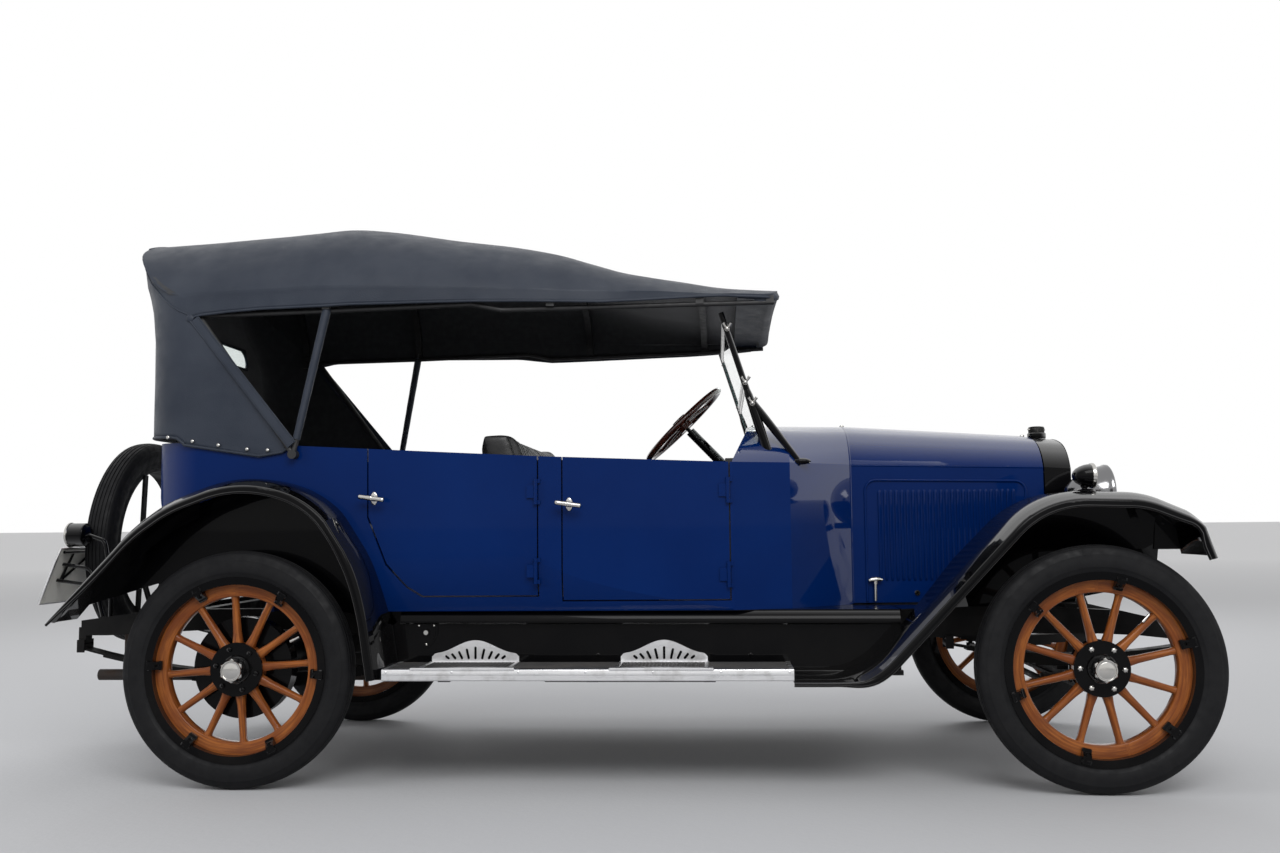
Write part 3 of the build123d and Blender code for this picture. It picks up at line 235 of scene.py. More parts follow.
def make_finishes():
    made = {}

    def add(name, *look, **sockets):
        made[name] = Finish(name, *look, **sockets)
        return made[name]

    # The blue paint comes in two copies that differ only in how much they shine. The body's copy shines
    # little at a slant, which keeps its sides dark as painted shade. The hood's and cowl's copy shines more,
    # which brightens the hood's top as a painted sky reflection.
    for name, slanted, grazing in ((BLUE, 0.18, 0.4), ("hood_blue_stronger_reflection", 1.0, 0.9)):
        blue = add(name, (0.0004, 0.0125, 0.083), 0.28, Coat_Roughness=0.03, Coat_IOR=2.1,
                   Specular_IOR_Level=0.03)
        # The lighter blue in broad patches is a painted reflection: soft variation that stands for the
        # surroundings mirrored in the glossy paint.
        blue.patches((2.5, 3), 0.35, 0.75, (0.0008, 0.0185, 0.112), 0.5).gloss(0.03, grazing, slanted)
        blue.roughen((30, 5), 0.28, 0.42).bump((3.2, 2), 0.006).bump((420, 2), 0.00004)
    black = add(
        BLACK, (0.0010, 0.0010, 0.0014), 0.26, Coat_Roughness=0.03, Coat_IOR=2.0, Specular_IOR_Level=0.04
    )
    black.low_dust(0.7, 0.03).gloss(0.05, 0.55).bump((4.5, 2), 0.003)
    chassis = add("chassis", (0.003, 0.003, 0.0034), 0.45, Specular_IOR_Level=0.15)
    chassis.low_dust(0.8, 0.10).roughen((25, 6), 0.35, 0.65).bump((140, 4), 0.0003)
    iron = add("engine_iron", (0.09, 0.09, 0.088), 0.6, 0.3)
    iron.patches((8, 6), 0.4, 0.7, (0.05, 0.04, 0.03)).bump((260, 4), 0.0006)
    pipe = add("pipe_steel", (0.030, 0.026, 0.024), 0.6, 0.3)
    pipe.patches((14, 6), 0.4, 0.65, (0.030, 0.017, 0.011)).bump((180, 4), 0.0004)
    bright = add(NICKEL, (0.52, 0.51, 0.49), 0.14, 1.0)
    bright.patches((18, 5), 0.45, 0.75, (0.50, 0.47, 0.42), 0.5).roughen((60, 5), 0.08, 0.22)
    add("lamp_shell", (0.20, 0.20, 0.205), 0.12, 1.0).roughen((40, 5), 0.08, 0.20)
    silver = add(ALUMINIUM, (0.72, 0.72, 0.73), 0.3, 1.0)
    silver.roughen((35, 6, (0.1, 1, 1)), 0.22, 0.42).patches((22, 6), 0.5, 0.75, (0.42, 0.41, 0.40), 0.6)
    silver.bump((300, 3, (0.05, 1, 1)), 0.0002)
    add(MAT, (0.014, 0.014, 0.015), 0.6).low_dust(0.6, 0.5).bump((350, 3), 0.0004)
    add("top_frame", (0.008, 0.008, 0.009), 0.55).roughen((40, 5), 0.45, 0.7).bump((200, 3), 0.0004)
    rubber = add("tyre", (0.0042, 0.0043, 0.0052), 0.5, Specular_IOR_Level=0.2)
    rubber.patches((12, 6), 0.45, 0.8, (0.013, 0.0125, 0.013), 0.4).roughen((40, 5), 0.5, 0.75)
    rubber.bump((500, 3), 0.0003)
    wood = add("wheel_wood", (0.30, 0.094, 0.018), 0.36, Coat_Roughness=0.07, Specular_IOR_Level=0.12)
    grain = (1.0, 7, (150, 150, 7), 0.65, "grain")
    wood.gloss(0.18, 0.7).patches(grain, 0.40, 0.60, (0.115, 0.028, 0.007), 0.85)
    wood.patches((1.0, 3, (24, 24, 8), 0.5, "grain"), 0.42, 0.66, (0.15, 0.036, 0.008), 0.8)
    wood.bump(grain, 0.0005)
    steering = add("steering_wood", (0.085, 0.018, 0.010), 0.3, Coat_Weight=1.0, Coat_Roughness=0.05)
    steering.patches((60, 6, (1, 1, 0.15)), 0.4, 0.7, (0.035, 0.008, 0.005))
    dash = add("dash_wood", (0.10, 0.038, 0.016), 0.35, Coat_Weight=0.6, Coat_Roughness=0.1)
    dash.patches((30, 7, (1, 0.12, 1)), 0.4, 0.65, (0.04, 0.014, 0.007))
    boards = add("floorboards", (0.085, 0.055, 0.034), 0.75)
    boards.patches((24, 7, (0.1, 1, 1)), 0.4, 0.65, (0.035, 0.024, 0.016)).bump((60, 6, (0.1, 1, 1)), 0.0008)
    glass = add("window_glass", (0.90, 0.97, 0.95), 0.0, Transmission_Weight=1.0, IOR=1.45)
    glass.roughen((11, 4), 0.0, 0.04)
    white = add("plate_white", (0.74, 0.73, 0.68), 0.38, Coat_Weight=0.4, Coat_Roughness=0.15)
    white.patches((14, 6), 0.55, 0.8, (0.42, 0.38, 0.31), 0.6)
    cloth = add(CLOTH, (0.010, 0.0155, 0.028), 0.46, Sheen_Weight=0.10, Sheen_Roughness=0.4,
                Specular_IOR_Level=0.35)
    cloth.patches((5, 6), 0.4, 0.75, (0.024, 0.031, 0.046), 0.7).roughen((16, 5), 0.42, 0.6)
    cloth.bump((6, 2, (0.6, 1, 1.6)), 0.003).emboss(cloth.cells(520), 0.0005)
    lining = add("top_lining", (0.014, 0.015, 0.018), 0.85, Sheen_Weight=0.3)
    lining.patches((40, 6), 0.4, 0.7, (0.024, 0.025, 0.028)).bump((900, 2), 0.0006)
    leather = add(LEATHER, (0.005, 0.005, 0.0055), 0.40, Coat_Weight=0.2, Coat_Roughness=0.25,
                  Specular_IOR_Level=0.35)
    leather.patches((12, 6), 0.45, 0.75, (0.018, 0.016, 0.015), 0.7).roughen((30, 5), 0.32, 0.55)
    leather.emboss(leather.cells(420, "SMOOTH_F1"), 0.0007)
    red = add("lamp_red", (0.35, 0.006, 0.005), 0.12, Coat_Weight=1.0)
    red.emboss(red.cells(160), 0.001)
    lens = add("lamp_glass", (0.93, 0.95, 0.95), 0.03, Transmission_Weight=0.9, IOR=1.45)
    lens.bump((60, 1, (1, 6, 0.2)), 0.0008)
    edge = add("glass_edge", (0.10, 0.26, 0.25), 0.12, Coat_Weight=0.5)
    edge.patches((30, 4), 0.4, 0.7, (0.30, 0.46, 0.44), 0.6)
    core = add("radiator_core", (0.035, 0.033, 0.03), 0.5, 0.6)
    core.tint(core.span(core.cells(160), 0.2, 0.5), (0.004, 0.004, 0.004))
    return {name: finish.material for name, finish in made.items()}


finishes = make_finishes()

CARRIED = {
    "chassis": "frame front_axle rear_axle leaf_springs knuckle_left knuckle_right tie_rod pitman_arm "
               "drag_link spare_carrier",
    "engine_iron": "engine_block",
    "pipe_steel": "exhaust",
    BLUE: "body_tub door_front_left door_front_right door_rear_left door_rear_right hood_side_left "
          "hood_side_right",
    # the cowl and hood tops take the copy of the blue paint that shines more, for a painted sky reflection
    "hood_blue_stronger_reflection": "cowl hood_top_left hood_top_right",
    BLACK: "radiator windshield_frame steering_column front_fenders rear_fenders aprons tail_lamp controls "
           "hub_front_left hub_front_right hub_rear_left hub_rear_right",
    "top_frame": "top_frame",
    "steering_wood": "steering_wheel",
    ALUMINIUM: "running_boards",
    "floorboards": "floor",
    "dash_wood": "dashboard",
    "window_glass": "windshield_glass",
    "plate_white": "number_plate",
}
for slot, names in CARRIED.items():
    for name in names.split():
        node = nodes[name]
        if not node.data.materials:
            node.data.materials.append(None)
        for k in range(len(node.data.materials)):
            node.data.materials[k] = finishes[slot]


# Shapes. Each function gives (points, faces) in the drawing's millimetres.

def rings(loops, closed=True, caps=True, around=False):
    """A skin through loops of equally many points; around joins the last loop to the first."""
    count = len(loops)
    size = len(loops[0])
    points = [Vector(p) for loop in loops for p in loop]
    faces = []
    for i in range(count if around else count - 1):
        after = (i + 1) % count
        for j in range(size if closed else size - 1):
            next_j = (j + 1) % size
            faces.append((i * size + j, i * size + next_j, after * size + next_j, after * size + j))
    if caps and closed and not around:
        faces.append(tuple(range(size)))
        faces.append(tuple(range((count - 1) * size, count * size)))
    return points, faces


def turned(profile, sides=96, closed=True):
    """A ring turned about the Y axis from (y, radius) points."""
    loops = []
    for k in range(sides):
        a = tau * k / sides
        loops.append([(r * sin(a), y, r * cos(a)) for y, r in profile])
    return rings(loops, closed=closed, caps=False, around=True)


def tube(path, radius, sides=12, closed=False, flat=1.0):
    """A round bar along points. The radius may be one number or one for each point."""
    points = [Vector(p) for p in path]
    count = len(points)
    radii = radius if isinstance(radius, (list, tuple)) else [radius] * count
    loops = []
    side = None
    for k, p in enumerate(points):
        if closed:
            way = points[(k + 1) % count] - points[k - 1]
        else:
            way = points[min(k + 1, count - 1)] - points[max(k - 1, 0)]
        way.normalize()
        if side is None:
            side = way.orthogonal().normalized()
        side = (side - way * side.dot(way)).normalized()
        other = way.cross(side)
        loops.append([
            p + side * (radii[k] * cos(tau * j / sides)) + other * (radii[k] * flat * sin(tau * j / sides))
            for j in range(sides)
        ])
    return rings(loops, around=closed, caps=not closed)


def bar(start, end, radius, sides=16, end_radius=None):
    return tube([start, end], [radius, radius if end_radius is None else end_radius], sides)


def hull(points):
    """The convex solid round the points."""
    shape = bmesh.new()
    for p in points:
        shape.verts.new(p)
    made = bmesh.ops.convex_hull(shape, input=shape.verts)
    spare = [v for v in made["geom_interior"] if isinstance(v, bmesh.types.BMVert)]
    bmesh.ops.delete(shape, geom=spare, context="VERTS")
    shape.verts.index_update()
    result = [v.co.copy() for v in shape.verts], [tuple(v.index for v in f.verts) for f in shape.faces]
    shape.free()
    return result


def block(x, y, z, soft=2.0):
    """A box given by its (low, high) limits, with its edges cut back."""
    points = []
    for axis in range(3):
        for corner in range(8):
            limits = [x, y, z]
            p = []
            for k in range(3):
                high = corner >> k & 1
                inward = 0 if k == axis else soft
                p.append(limits[k][high] + (-inward if high else inward))
            points.append(p)
    return hull(points)


def plate(outline, low, high, view="side"):
    """A flat outline given a thickness along Y (side view) or X (front view)."""
    if view == "side":
        loops = [[(a, depth, b) for a, b in outline] for depth in (low, high)]
    else:
        loops = [[(depth, a, b) for a, b in outline] for depth in (low, high)]
    return rings(loops)


def ball(centre, radii, sides=20):
    loops = []
    for i in range(sides // 2 + 1):
        a = pi * i / (sides // 2)
        loops.append([
            (
                centre[0] + radii[0] * sin(a) * cos(tau * j / sides),
                centre[1] + radii[1] * sin(a) * sin(tau * j / sides),
                centre[2] + radii[2] * cos(a),
            )
            for j in range(sides)
        ])
    return rings(loops, caps=False)


def rounded(points, radii, steps=8):
    """A run of points with each inner corner rounded to its radius."""
    points = [Vector(p) for p in points]
    out = [points[0]]
    for p, before, after, radius in zip(points[1:-1], points, points[2:], radii):
        if not radius:
            out.append(p)
            continue
        back = (before - p).normalized()
        ahead = (after - p).normalized()
        half = back.angle(ahead) / 2
        centre = p + (back + ahead).normalized() * (radius / sin(half))
        start = p + back * (radius / tan(half)) - centre
        end = p + ahead * (radius / tan(half)) - centre
        whole = start.angle(end)
        for k in range(steps + 1):
            share = k / steps
            out.append(centre + (start * sin((1 - share) * whole) + end * sin(share * whole)) / sin(whole))
    out.append(points[-1])
    return out


def even(points, step):
    """The same run with points a step apart."""
    points = [Vector(p) for p in points]
    out = [points[0]]
    for a, b in zip(points, points[1:]):
        count = max(1, round((b - a).length / step))
        out += [a.lerp(b, (k + 1) / count) for k in range(count)]
    return out


def between(table, x):
    """The row of numbers at x, read straight between a table's rows."""
    rows = sorted(table)
    if x <= rows[0][0]:
        return rows[0][1:]
    for a, b in zip(rows, rows[1:]):
        if x <= b[0]:
            share = (x - a[0]) / (b[0] - a[0])
            return tuple(p + (q - p) * share for p, q in zip(a[1:], b[1:]))
    return rows[-1][1:]


def turned_x(profile, at, sides=40):
    """A form turned about a line along X, from (x, radius) points."""
    loops = []
    for k in range(sides):
        a = tau * k / sides
        loops.append([(at[0] + x, at[1] + r * cos(a), at[2] + r * sin(a)) for x, r in profile])
    return rings(loops, closed=False, caps=False, around=True)


def across(p):
    """The point on the car's other side."""
    return Vector((p[0], -p[1], p[2]))


def smooth_skin(data):
    data.polygons.foreach_set("use_smooth", [True] * len(data.polygons))


class Piece:
    """Gathers shapes and makes one mesh of them, which rides on a body."""

    def __init__(self, name, body, slot, *paints):
        self.name, self.body, self.slot = name, body, slot
        self.paints = paints or (slot,)
        self.points, self.faces, self.marks, self.grain = [], [], [], []

    def add(self, shape, paint=None, at=None, grain=None):
        points, faces = shape
        base = len(self.points)
        mark = self.paints.index(paint) if paint else 0
        self.points += [at @ Vector(p) for p in points] if at else [Vector(p) for p in points]
        self.faces += [tuple(base + k for k in face) for face in faces]
        self.marks += [mark] * len(faces)
        self.grain += grain if grain else [Vector(p) * 0.001 for p in points]
        return self

    def both(self, shape, paint=None):
        """The shape, and its mirror image on the car's other side."""
        points, faces = shape
        return self.add(shape, paint).add(([across(p) for p in points], faces), paint)

    def done(self, *replaced, sharp=32, grained=False, weld=0.01):
        data = bpy.data.meshes.new(self.name)
        points = [((p.x + SHIFT) / 1000, p.y / 1000, p.z / 1000) for p in self.points]
        data.from_pydata(points, [], self.faces)
        for paint in self.paints:
            data.materials.append(finishes[paint])
        data.polygons.foreach_set("material_index", self.marks)
        if grained:
            made = data.attributes.new("grain", "FLOAT_VECTOR", "POINT")
            made.data.foreach_set("vector", np.array([tuple(g) for g in self.grain], np.float32).ravel())
        shape = bmesh.new()
        shape.from_mesh(data)
        bmesh.ops.remove_doubles(shape, verts=shape.verts, dist=weld / 1000)
        bmesh.ops.dissolve_degenerate(shape, dist=1e-6, edges=shape.edges)
        bmesh.ops.recalc_face_normals(shape, faces=shape.faces)
        shape.to_mesh(data)
        shape.free()
        smooth_skin(data)
        data.set_sharp_from_angle(angle=radians(sharp))
        made = linked(self.name, data)
        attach(made, self.body)
        if replaced:
            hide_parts(*replaced)
        return made


# Wheels, drawn about the Y axis with their outer face towards +Y

TYRE_PROFILE = [
    # y, radius, from the bead to the middle of the tread
    (43, 304.6), (43.2, 317.5), (45.5, 324), (48.6, 332), (49.8, 333.2), (50.6, 336), (51.8, 343),
    (52.5, 352), (52.2, 362), (51.0, 372), (50.9, 375), (49.4, 377), (47.2, 385), (43.8, 392), (40.6, 396.5),
    (39.0, 398.4), (37.2, 399.6), (36.0, 400.4), (35.2, 398.6), (33.4, 399.0), (32.6, 401.6), (24.6, 403.9),
    (23.8, 400.6), (20.6, 401.0), (19.8, 404.6), (9.6, 405.9), (8.8, 402.6), (5.6, 402.8), (4.8, 406.2),
    (0, 406.5),
]
SPOKES = 12
SPOKE_SIDES = 20
SPOKE_RINGS = [
    # radius, half width along the rim, half depth
    (70, 17, 20), (92, 16.8, 19.5), (104, 15.5, 18), (125, 13.6, 16.4), (180, 12.4, 15), (232, 11.6, 14.2),
    (244, 12.6, 15.4), (252, 15.5, 17.5),
]
WHEEL_SIDES = 144
FELLOE_PROFILE = [
    (-22, 291), (-22, 254), (-20.4, 250.6), (-17, 249), (17, 249), (20.4, 250.6), (22, 254), (22, 291),
    (-22, 291),
]


def tyre_shape():
    return turned(TYRE_PROFILE + [(-y, r) for y, r in reversed(TYRE_PROFILE[:-1])], WHEEL_SIDES)


def about(angle):
    return Matrix.Rotation(radians(angle), 4, "Y")


def stud(low, high, out, radius, sides=12):
    """A bar along Y, at a distance out from the axle."""
    return bar((0, low, out), (0, high, out), radius, sides)


def squared(value, power):
    return abs(value) ** power * (1 if value >= 0 else -1)


def add_wheel(name, x, left, spoke_turn, lug_turn):
    """Everything on one wheel, in three pieces that roll with it."""
    body = f"wheel_{name}"
    turn_side = Matrix.Identity(4) if left else Matrix.Scale(-1, 4, (0, 1, 0))
    at = Matrix.Translation((x, WHEEL_Y if left else -WHEEL_Y, AXLE_Z)) @ turn_side
    Piece(f"tyre_form_{name}", body, "tyre").add(tyre_shape(), at=at).done(f"tyre_{name}", sharp=28)

    wood = Piece(f"wood_{name}", body, "wheel_wood")
    grain = []
    for k in range(WHEEL_SIDES):
        joint = int((k * 360 / WHEEL_SIDES + spoke_turn) // 180)
        along = k / WHEEL_SIDES * tau * 0.27 + joint * 3
        grain += [Vector((y / 1000, r / 1000, along)) for y, r in FELLOE_PROFILE]
    wood.add(turned(FELLOE_PROFILE, WHEEL_SIDES, closed=False), at=at, grain=grain)
    wood.add(turned([(-22, 38.3), (22, 38.3), (22, 88), (-22, 88)], 72), at=at)
    for k in range(SPOKES):
        loops = []
        marks = []
        for radius, wide, deep in SPOKE_RINGS:
            power = 0.86 if radius > 120 else 0.72
            loop = []
            for j in range(SPOKE_SIDES):
                a = tau * j / SPOKE_SIDES
                cx, cy = wide * squared(cos(a), power), deep * squared(sin(a), power)
                loop.append((cx, cy, radius))
                marks.append(Vector((cx / 1000 + k * 0.37, cy / 1000, radius / 1000 + k * 1.7)))
            loops.append(loop)
        wood.add(rings(loops), at=at @ about(spoke_turn + 360 / SPOKES * k), grain=marks)
    wood.done(f"spokes_{name}", sharp=40, grained=True)

    iron = Piece(f"fittings_{name}", body, "wheel_iron", BLACK, NICKEL)
    bright = NICKEL if x == FRONT_X else BLACK
    for k in range(6):
        turn = at @ about(lug_turn + 60 * k)
        iron.add(block((-16, 16), (22.5, 37), (262, 276), 3), at=turn)
        iron.add(stud(33, 47, 282, 9.5, 6), at=turn)
        iron.add(stud(46, 57, 282, 5), at=turn)
        iron.add(block((-17, 17), (40, 54.5), (296, 312), 4), at=turn)
        turn = at @ about(spoke_turn + 60 * k + 15)
        iron.add(stud(30, 36.5, 72, 9, 6), bright, turn)
        iron.add(ball((0, 36.5, 72), (8, 4, 8), 16), bright, turn)
        iron.add(stud(29.5, 33.5, 49, 3.6), at=turn)
    collar = [(30, 34), (30, 47), (33, 49), (37, 46), (40, 42.5), (60, 41), (62.6, 38), (62.6, 34)]
    iron.add(turned(collar, 72), at=at)
    cap = []
    for y, radius in ((61, 37), (64, 41.8), (72.5, 41.8), (75.6, 38.5)):
        cap.append([(radius * sin(tau * j / 6), y, radius * cos(tau * j / 6)) for j in range(6)])
    iron.add(rings(cap), NICKEL, at)
    for face in (
        [(75.8, 0.0), (75.8, 30), (78.2, 31.5), (78.2, 34.5), (75.2, 36)],
        [(76.0, 0.01), (77.0, 24), (75.5, 27), (75.2, 0.01)],
    ):
        iron.add(turned(face, 48), NICKEL, at)
    valve = at @ about(lug_turn + 30)
    iron.add(bar((0, 12, 240), (0, 14, 212), 4.2, 12), NICKEL, valve)
    iron.add(bar((0, 13, 222), (0, 14, 206), 5.6, 12), NICKEL, valve)
    iron.done()


for end, x, spoke_turn, lug_turn in (("front", FRONT_X, 17, 13), ("rear", REAR_X, 25.5, 33)):
    for name, side in SIDES:
        add_wheel(f"{end}_{name}", x, side > 0, spoke_turn, lug_turn)

spare_at = Matrix.Translation((-2000, 0, 840)) @ about(2) @ Matrix.Rotation(-pi / 2, 4, "Z")
Piece("spare_tyre_form", "car", "tyre").add(tyre_shape(), at=spare_at).done("spare_tyre", sharp=28)


# Running boards and aprons

BOARD_REAR, BOARD_FRONT = -764, 605.5
KICK_PLATES = [
    # rear end, front end
    (-647, -338), (20, 322),
]
KICK_SLOTS = 9
APRON_REAR, APRON_FRONT = -757, 984


def cut_plate(outer, holes, low, high):
    """A side-view plate with holes through it."""
    shape = bmesh.new()
    base = 0
    walls = []
    for loop in [outer] + holes:
        verts = [shape.verts.new((a, 0, b)) for a, b in loop]
        for k in range(len(verts)):
            shape.edges.new((verts[k - 1], verts[k]))
            walls.append((base + (k - 1) % len(verts), base + k))
        base += len(verts)
    shape.verts.index_update()
    bmesh.ops.triangle_fill(shape, use_beauty=True, edges=shape.edges[:])
    flat = [tuple(v.index for v in f.verts) for f in shape.faces]
    points = [(v.co.x, y, v.co.z) for y in (low, high) for v in shape.verts]
    shape.free()
    faces = flat + [tuple(k + base for k in f) for f in flat]
    faces += [(a, b, b + base, a + base) for a, b in walls]
    return points, faces


def slot_outline(x, z, angle, length, half):
    """A long hole with round ends, from its lower end upward at an angle from upright."""
    out = []
    for centre, start in ((length, -90), (0, 90)):
        for k in range(7):
            a = radians(start + 30 * k)
            wide, along = half * sin(a), centre + half * cos(a)
            out.append((
                x + wide * cos(angle) + along * sin(angle), z - wide * sin(angle) + along * cos(angle),
            ))
    return out


def add_kick_plate(boards, x0, x1):
    middle, half = (x0 + x1) / 2, (x1 - x0) / 2
    top = []
    for k in range(33):
        t = (k - 16) / 16
        corner = 12 * max(0, (abs(t) - 0.9) / 0.1) ** 2
        top.append((middle + half * t, 447 + 45 * (0.5 + 0.5 * cos(pi * t)) ** 1.15 - corner))
    holes = []
    for k in range(KICK_SLOTS):
        n = k - KICK_SLOTS // 2
        holes.append(slot_outline(middle + 24 * n, 430, radians(13 * n), 36 - 6.5 * abs(n), 4.4))
    boards.both(cut_plate([(x1, 414), (x0, 414)] + top, holes, 606.8, 609.6))
    boards.both(block((x0 + 2, x1 - 2), (607, 626), (415.4, 418.6), 1))
    for x in (x0 - 5, x1 - 9):
        boards.both(block((x, x + 14), (612, 814), (415, 419.6), 1.4))
        for y in (640, 700, 780):
            boards.both(ball((x + 7, y, 419.4), (3, 3, 1.6), 10))
    boards.both(block((x0 - 22, x1 + 22), (800, 834.6), (412, 422), 2))
    for k in range(22):
        x = x0 + 12 + k * (x1 - x0 - 28) / 21
        boards.both(block((x, x + 5), (630, 796), (416.2, 418.2), 0.8), MAT)


def add_boards():
    rear, front = BOARD_REAR, BOARD_FRONT
    boards = Piece("board_trim", "car", ALUMINIUM, ALUMINIUM, MAT)
    boards.both(block((rear + 10, front - 10), (606, 815), (412.2, 415), 1), MAT)
    for k in range(14):
        y = 612 + 14 * k
        boards.both(block((rear + 13, front - 13), (y, y + 6), (414.6, 416.6), 0.8), MAT)
    for edge in (
        [(806, 400), (806, 417.6), (826, 418.4), (831, 416.4), (832.6, 412), (832.6, 399.5), (828, 398)],
        [(806, 400), (828, 400), (831.2, 398.4), (831.2, 382), (829, 378.6), (825, 378.2), (806, 378.2)],
    ):
        boards.both(plate(edge, rear, front, "front"))
    for x in (rear, front - 15):
        boards.both(block((x, x + 15), (606, 812), (412.2, 418), 1.2))
    for k in range(7):
        x = rear + 14 + k * (front - rear - 28) / 6
        boards.both(ball((x, 832.4, 408), (4.2, 2.4, 4.2), 12))
    for x0, x1 in KICK_PLATES:
        add_kick_plate(boards, x0, x1)
    boards.done()

    aprons = Piece("apron_trim", "car", BLACK, BLACK, NICKEL)
    aprons.both(block((APRON_REAR, APRON_FRONT), (604.4, 606.2), (384, 588), 0.4))
    moulding = []
    for k in range(40):
        share = k / 39
        x, z = APRON_REAR + share * (APRON_FRONT - APRON_REAR), 592 - 6 * share
        moulding.append([(x, y, z + rise) for y, rise in (
            (602, 3), (607, 3), (613, -2), (622, -16), (627, -30), (626, -37), (620, -42), (604, -44),
        )])
    aprons.both(rings(moulding))
    for x, z in ((-420, 560), (-60, 440), (-60, 560), (470, 440), (470, 560)):
        aprons.both(ball((x, 606.6, z), (7, 3, 7), 12))
    shield = [
        (-708, 552), (-696, 560), (-667, 556), (-638, 560), (-626, 552), (-628, 510), (-642, 482),
        (-667, 462), (-692, 482), (-706, 510),
    ]
    aprons.add(plate(shield, -611, -605))
    aprons.add(plate([(-667 + (x + 667) * 0.82, 512 + (z - 512) * 0.84) for x, z in shield], -613.6, -605))
    aprons.add(bar((-667, -612, 520), (-667, -620, 520), 13, 24))
    aprons.add(bar((-667, -619, 520), (-667, -622, 520), 8, 24), NICKEL)
    for x, z in ((-694, 544), (-640, 544), (-667, 478)):
        aprons.add(ball((x, -613.6, z), (4.5, 3, 4.5), 12), NICKEL)
    aprons.done()


# Hood, cowl and radiator

CROWN_JOIN = (0.62, 0.79)
CROWN_MID = (0.854, 0.489)
LOUVRES = 25
LOUVRE_REAR, LOUVRE_FRONT = 960, 1457
LOUVRE_LOW, LOUVRE_HIGH = 677, 1013
LOUVRE_PROFILE = [
    # along the hood, outward
    (7.4, -0.4), (5.6, 1.2), (2.8, 3.0), (-0.6, 5.0), (-3.6, 6.3), (-5.8, 6.6), (-6.6, 5.6), (-6.4, 4.2),
]


def circle_through(a, b, c):
    d = 2 * (a.x * (b.y - c.y) + b.x * (c.y - a.y) + c.x * (a.y - b.y))
    aa, bb, cc = a.length_squared, b.length_squared, c.length_squared
    x = (aa * (b.y - c.y) + bb * (c.y - a.y) + cc * (a.y - b.y)) / d
    y = (aa * (c.x - b.x) + bb * (a.x - c.x) + cc * (b.x - a.x)) / d
    return Vector((x, y))


def shoulder_points(half, shoulder, crown):
    """Three points of the arc that leads from the shoulder towards the crown, as (y, z)."""
    return [
        Vector((share * half, shoulder + rise * (crown - shoulder)))
        for share, rise in ((1, 0), CROWN_MID, CROWN_JOIN)
    ]


def arch_line(half, foot, shoulder, crown, grow=0.0, steps=10):
    """The cowl's or hood's section from the left foot over the crown to the right foot, as (y, z)."""
    a, b, c = shoulder_points(half, shoulder, crown)
    peak = Vector((0, crown))
    line = [Vector((half, foot)), Vector((half, shoulder))]
    for first, last, centre in (
        (a, c, circle_through(a, b, c)), (c, peak, circle_through(c, peak, Vector((-c.x, c.y)))),
    ):
        sweep = (first - centre).angle_signed(last - centre)
        for k in range(1, steps + 1):
            line.append(centre + Matrix.Rotation(-sweep * k / steps, 2) @ (first - centre))
    grown = []
    for k, p in enumerate(line):
        way = (line[min(k + 1, len(line) - 1)] - line[max(k - 1, 0)]).normalized()
        grown.append(p + Vector((way.y, -way.x)) * grow)
    grown[-1] = line[-1] + Vector((0, grow))
    return grown + [Vector((-p.x, p.y)) for p in reversed(grown[:-1])]


def arch_band(steps, *arch):
    """A band round an arch, through steps of (x, growth)."""
    return rings([[(x, y, z) for y, z in arch_line(*arch, grow)] for x, grow in steps], closed=False)


def add_hood():
    seam = Piece("hood_seam", "car", BLUE, "hood_blue_stronger_reflection", NICKEL)
    steps = ((850.2, -3), (850.2, 0.8), (852, 2), (855, 2), (856.6, 0.8), (856.6, -3))
    seam.add(arch_band(steps, 356, 598, 1106, 1272))
    seam.add(ball((1569, 0, 1228), (9, 5, 6), 14), NICKEL)
    seam.add(ball((862, 0, 1277), (9, 4.4, 5), 14), NICKEL)
    seam.done()
    low, high = LOUVRE_LOW, LOUVRE_HIGH
    rows = [(low, 0), (low + 3, 0.5), (low + 8, 0.8), (low + 16, 1)]
    rows += [(low + 16 + (high - low - 32) * k / 4, 1) for k in range(1, 4)]
    rows += [(high - 16, 1), (high - 9, 0.85), (high - 3, 0.55), (high, 0)]
    for name, side in SIDES:
        trim = Piece(f"hood_louvres_{name}", f"hood_side_{name}", BLUE, BLUE, BLACK, NICKEL)

        def out(x, y, z):
            return Vector((x, side * (352 - (x - 857) * 67 / 713 + y), z))

        for k in range(LOUVRES):
            x = LOUVRE_REAR + k * (LOUVRE_FRONT - LOUVRE_REAR) / (LOUVRES - 1)
            # Each louvre's open mouth is shut by a sheet of black enamel. This is painted shade for the dark
            # space under the hood.
            shaded_mouth = [(-6.4, 4.4), (-6.4, 0.2)]
            for profile, sink, paint in ((LOUVRE_PROFILE, 0.3, BLUE), (shaded_mouth, 0.2, BLACK)):
                loops = [
                    [out(x + a * (0.35 + 0.65 * s), b * s - sink, z) for a, b in profile] for z, s in rows
                ]
                trim.add(rings(loops, closed=False), paint)
        run = even(rounded([(906, 0, 606), (906, 0, 1049), (1502, 0, 1041), (1502, 0, 606)], [40, 40]), 25)
        trim.add(tube([out(p.x, 1.4, p.z) for p in run], 4.6, 12))
        trim.add(tube([out(935, 13, 607), out(935, 13, 676)], 5.2, 12), NICKEL)
        handle = [out(x, 15, z) for x, z in ((911, 681), (920, 684), (935, 685), (950, 685), (961, 683))]
        trim.add(tube(handle, [5, 7.5, 9, 7, 4.6], 14), NICKEL)
        trim.add(bar(out(935, 13, 668), out(935, 13, 684), 8), NICKEL)
        for x in (1090, 1330):
            trim.add(bar(out(x, -1, 634), out(x, 5, 634), 10), NICKEL)
        trim.done(sharp=42)


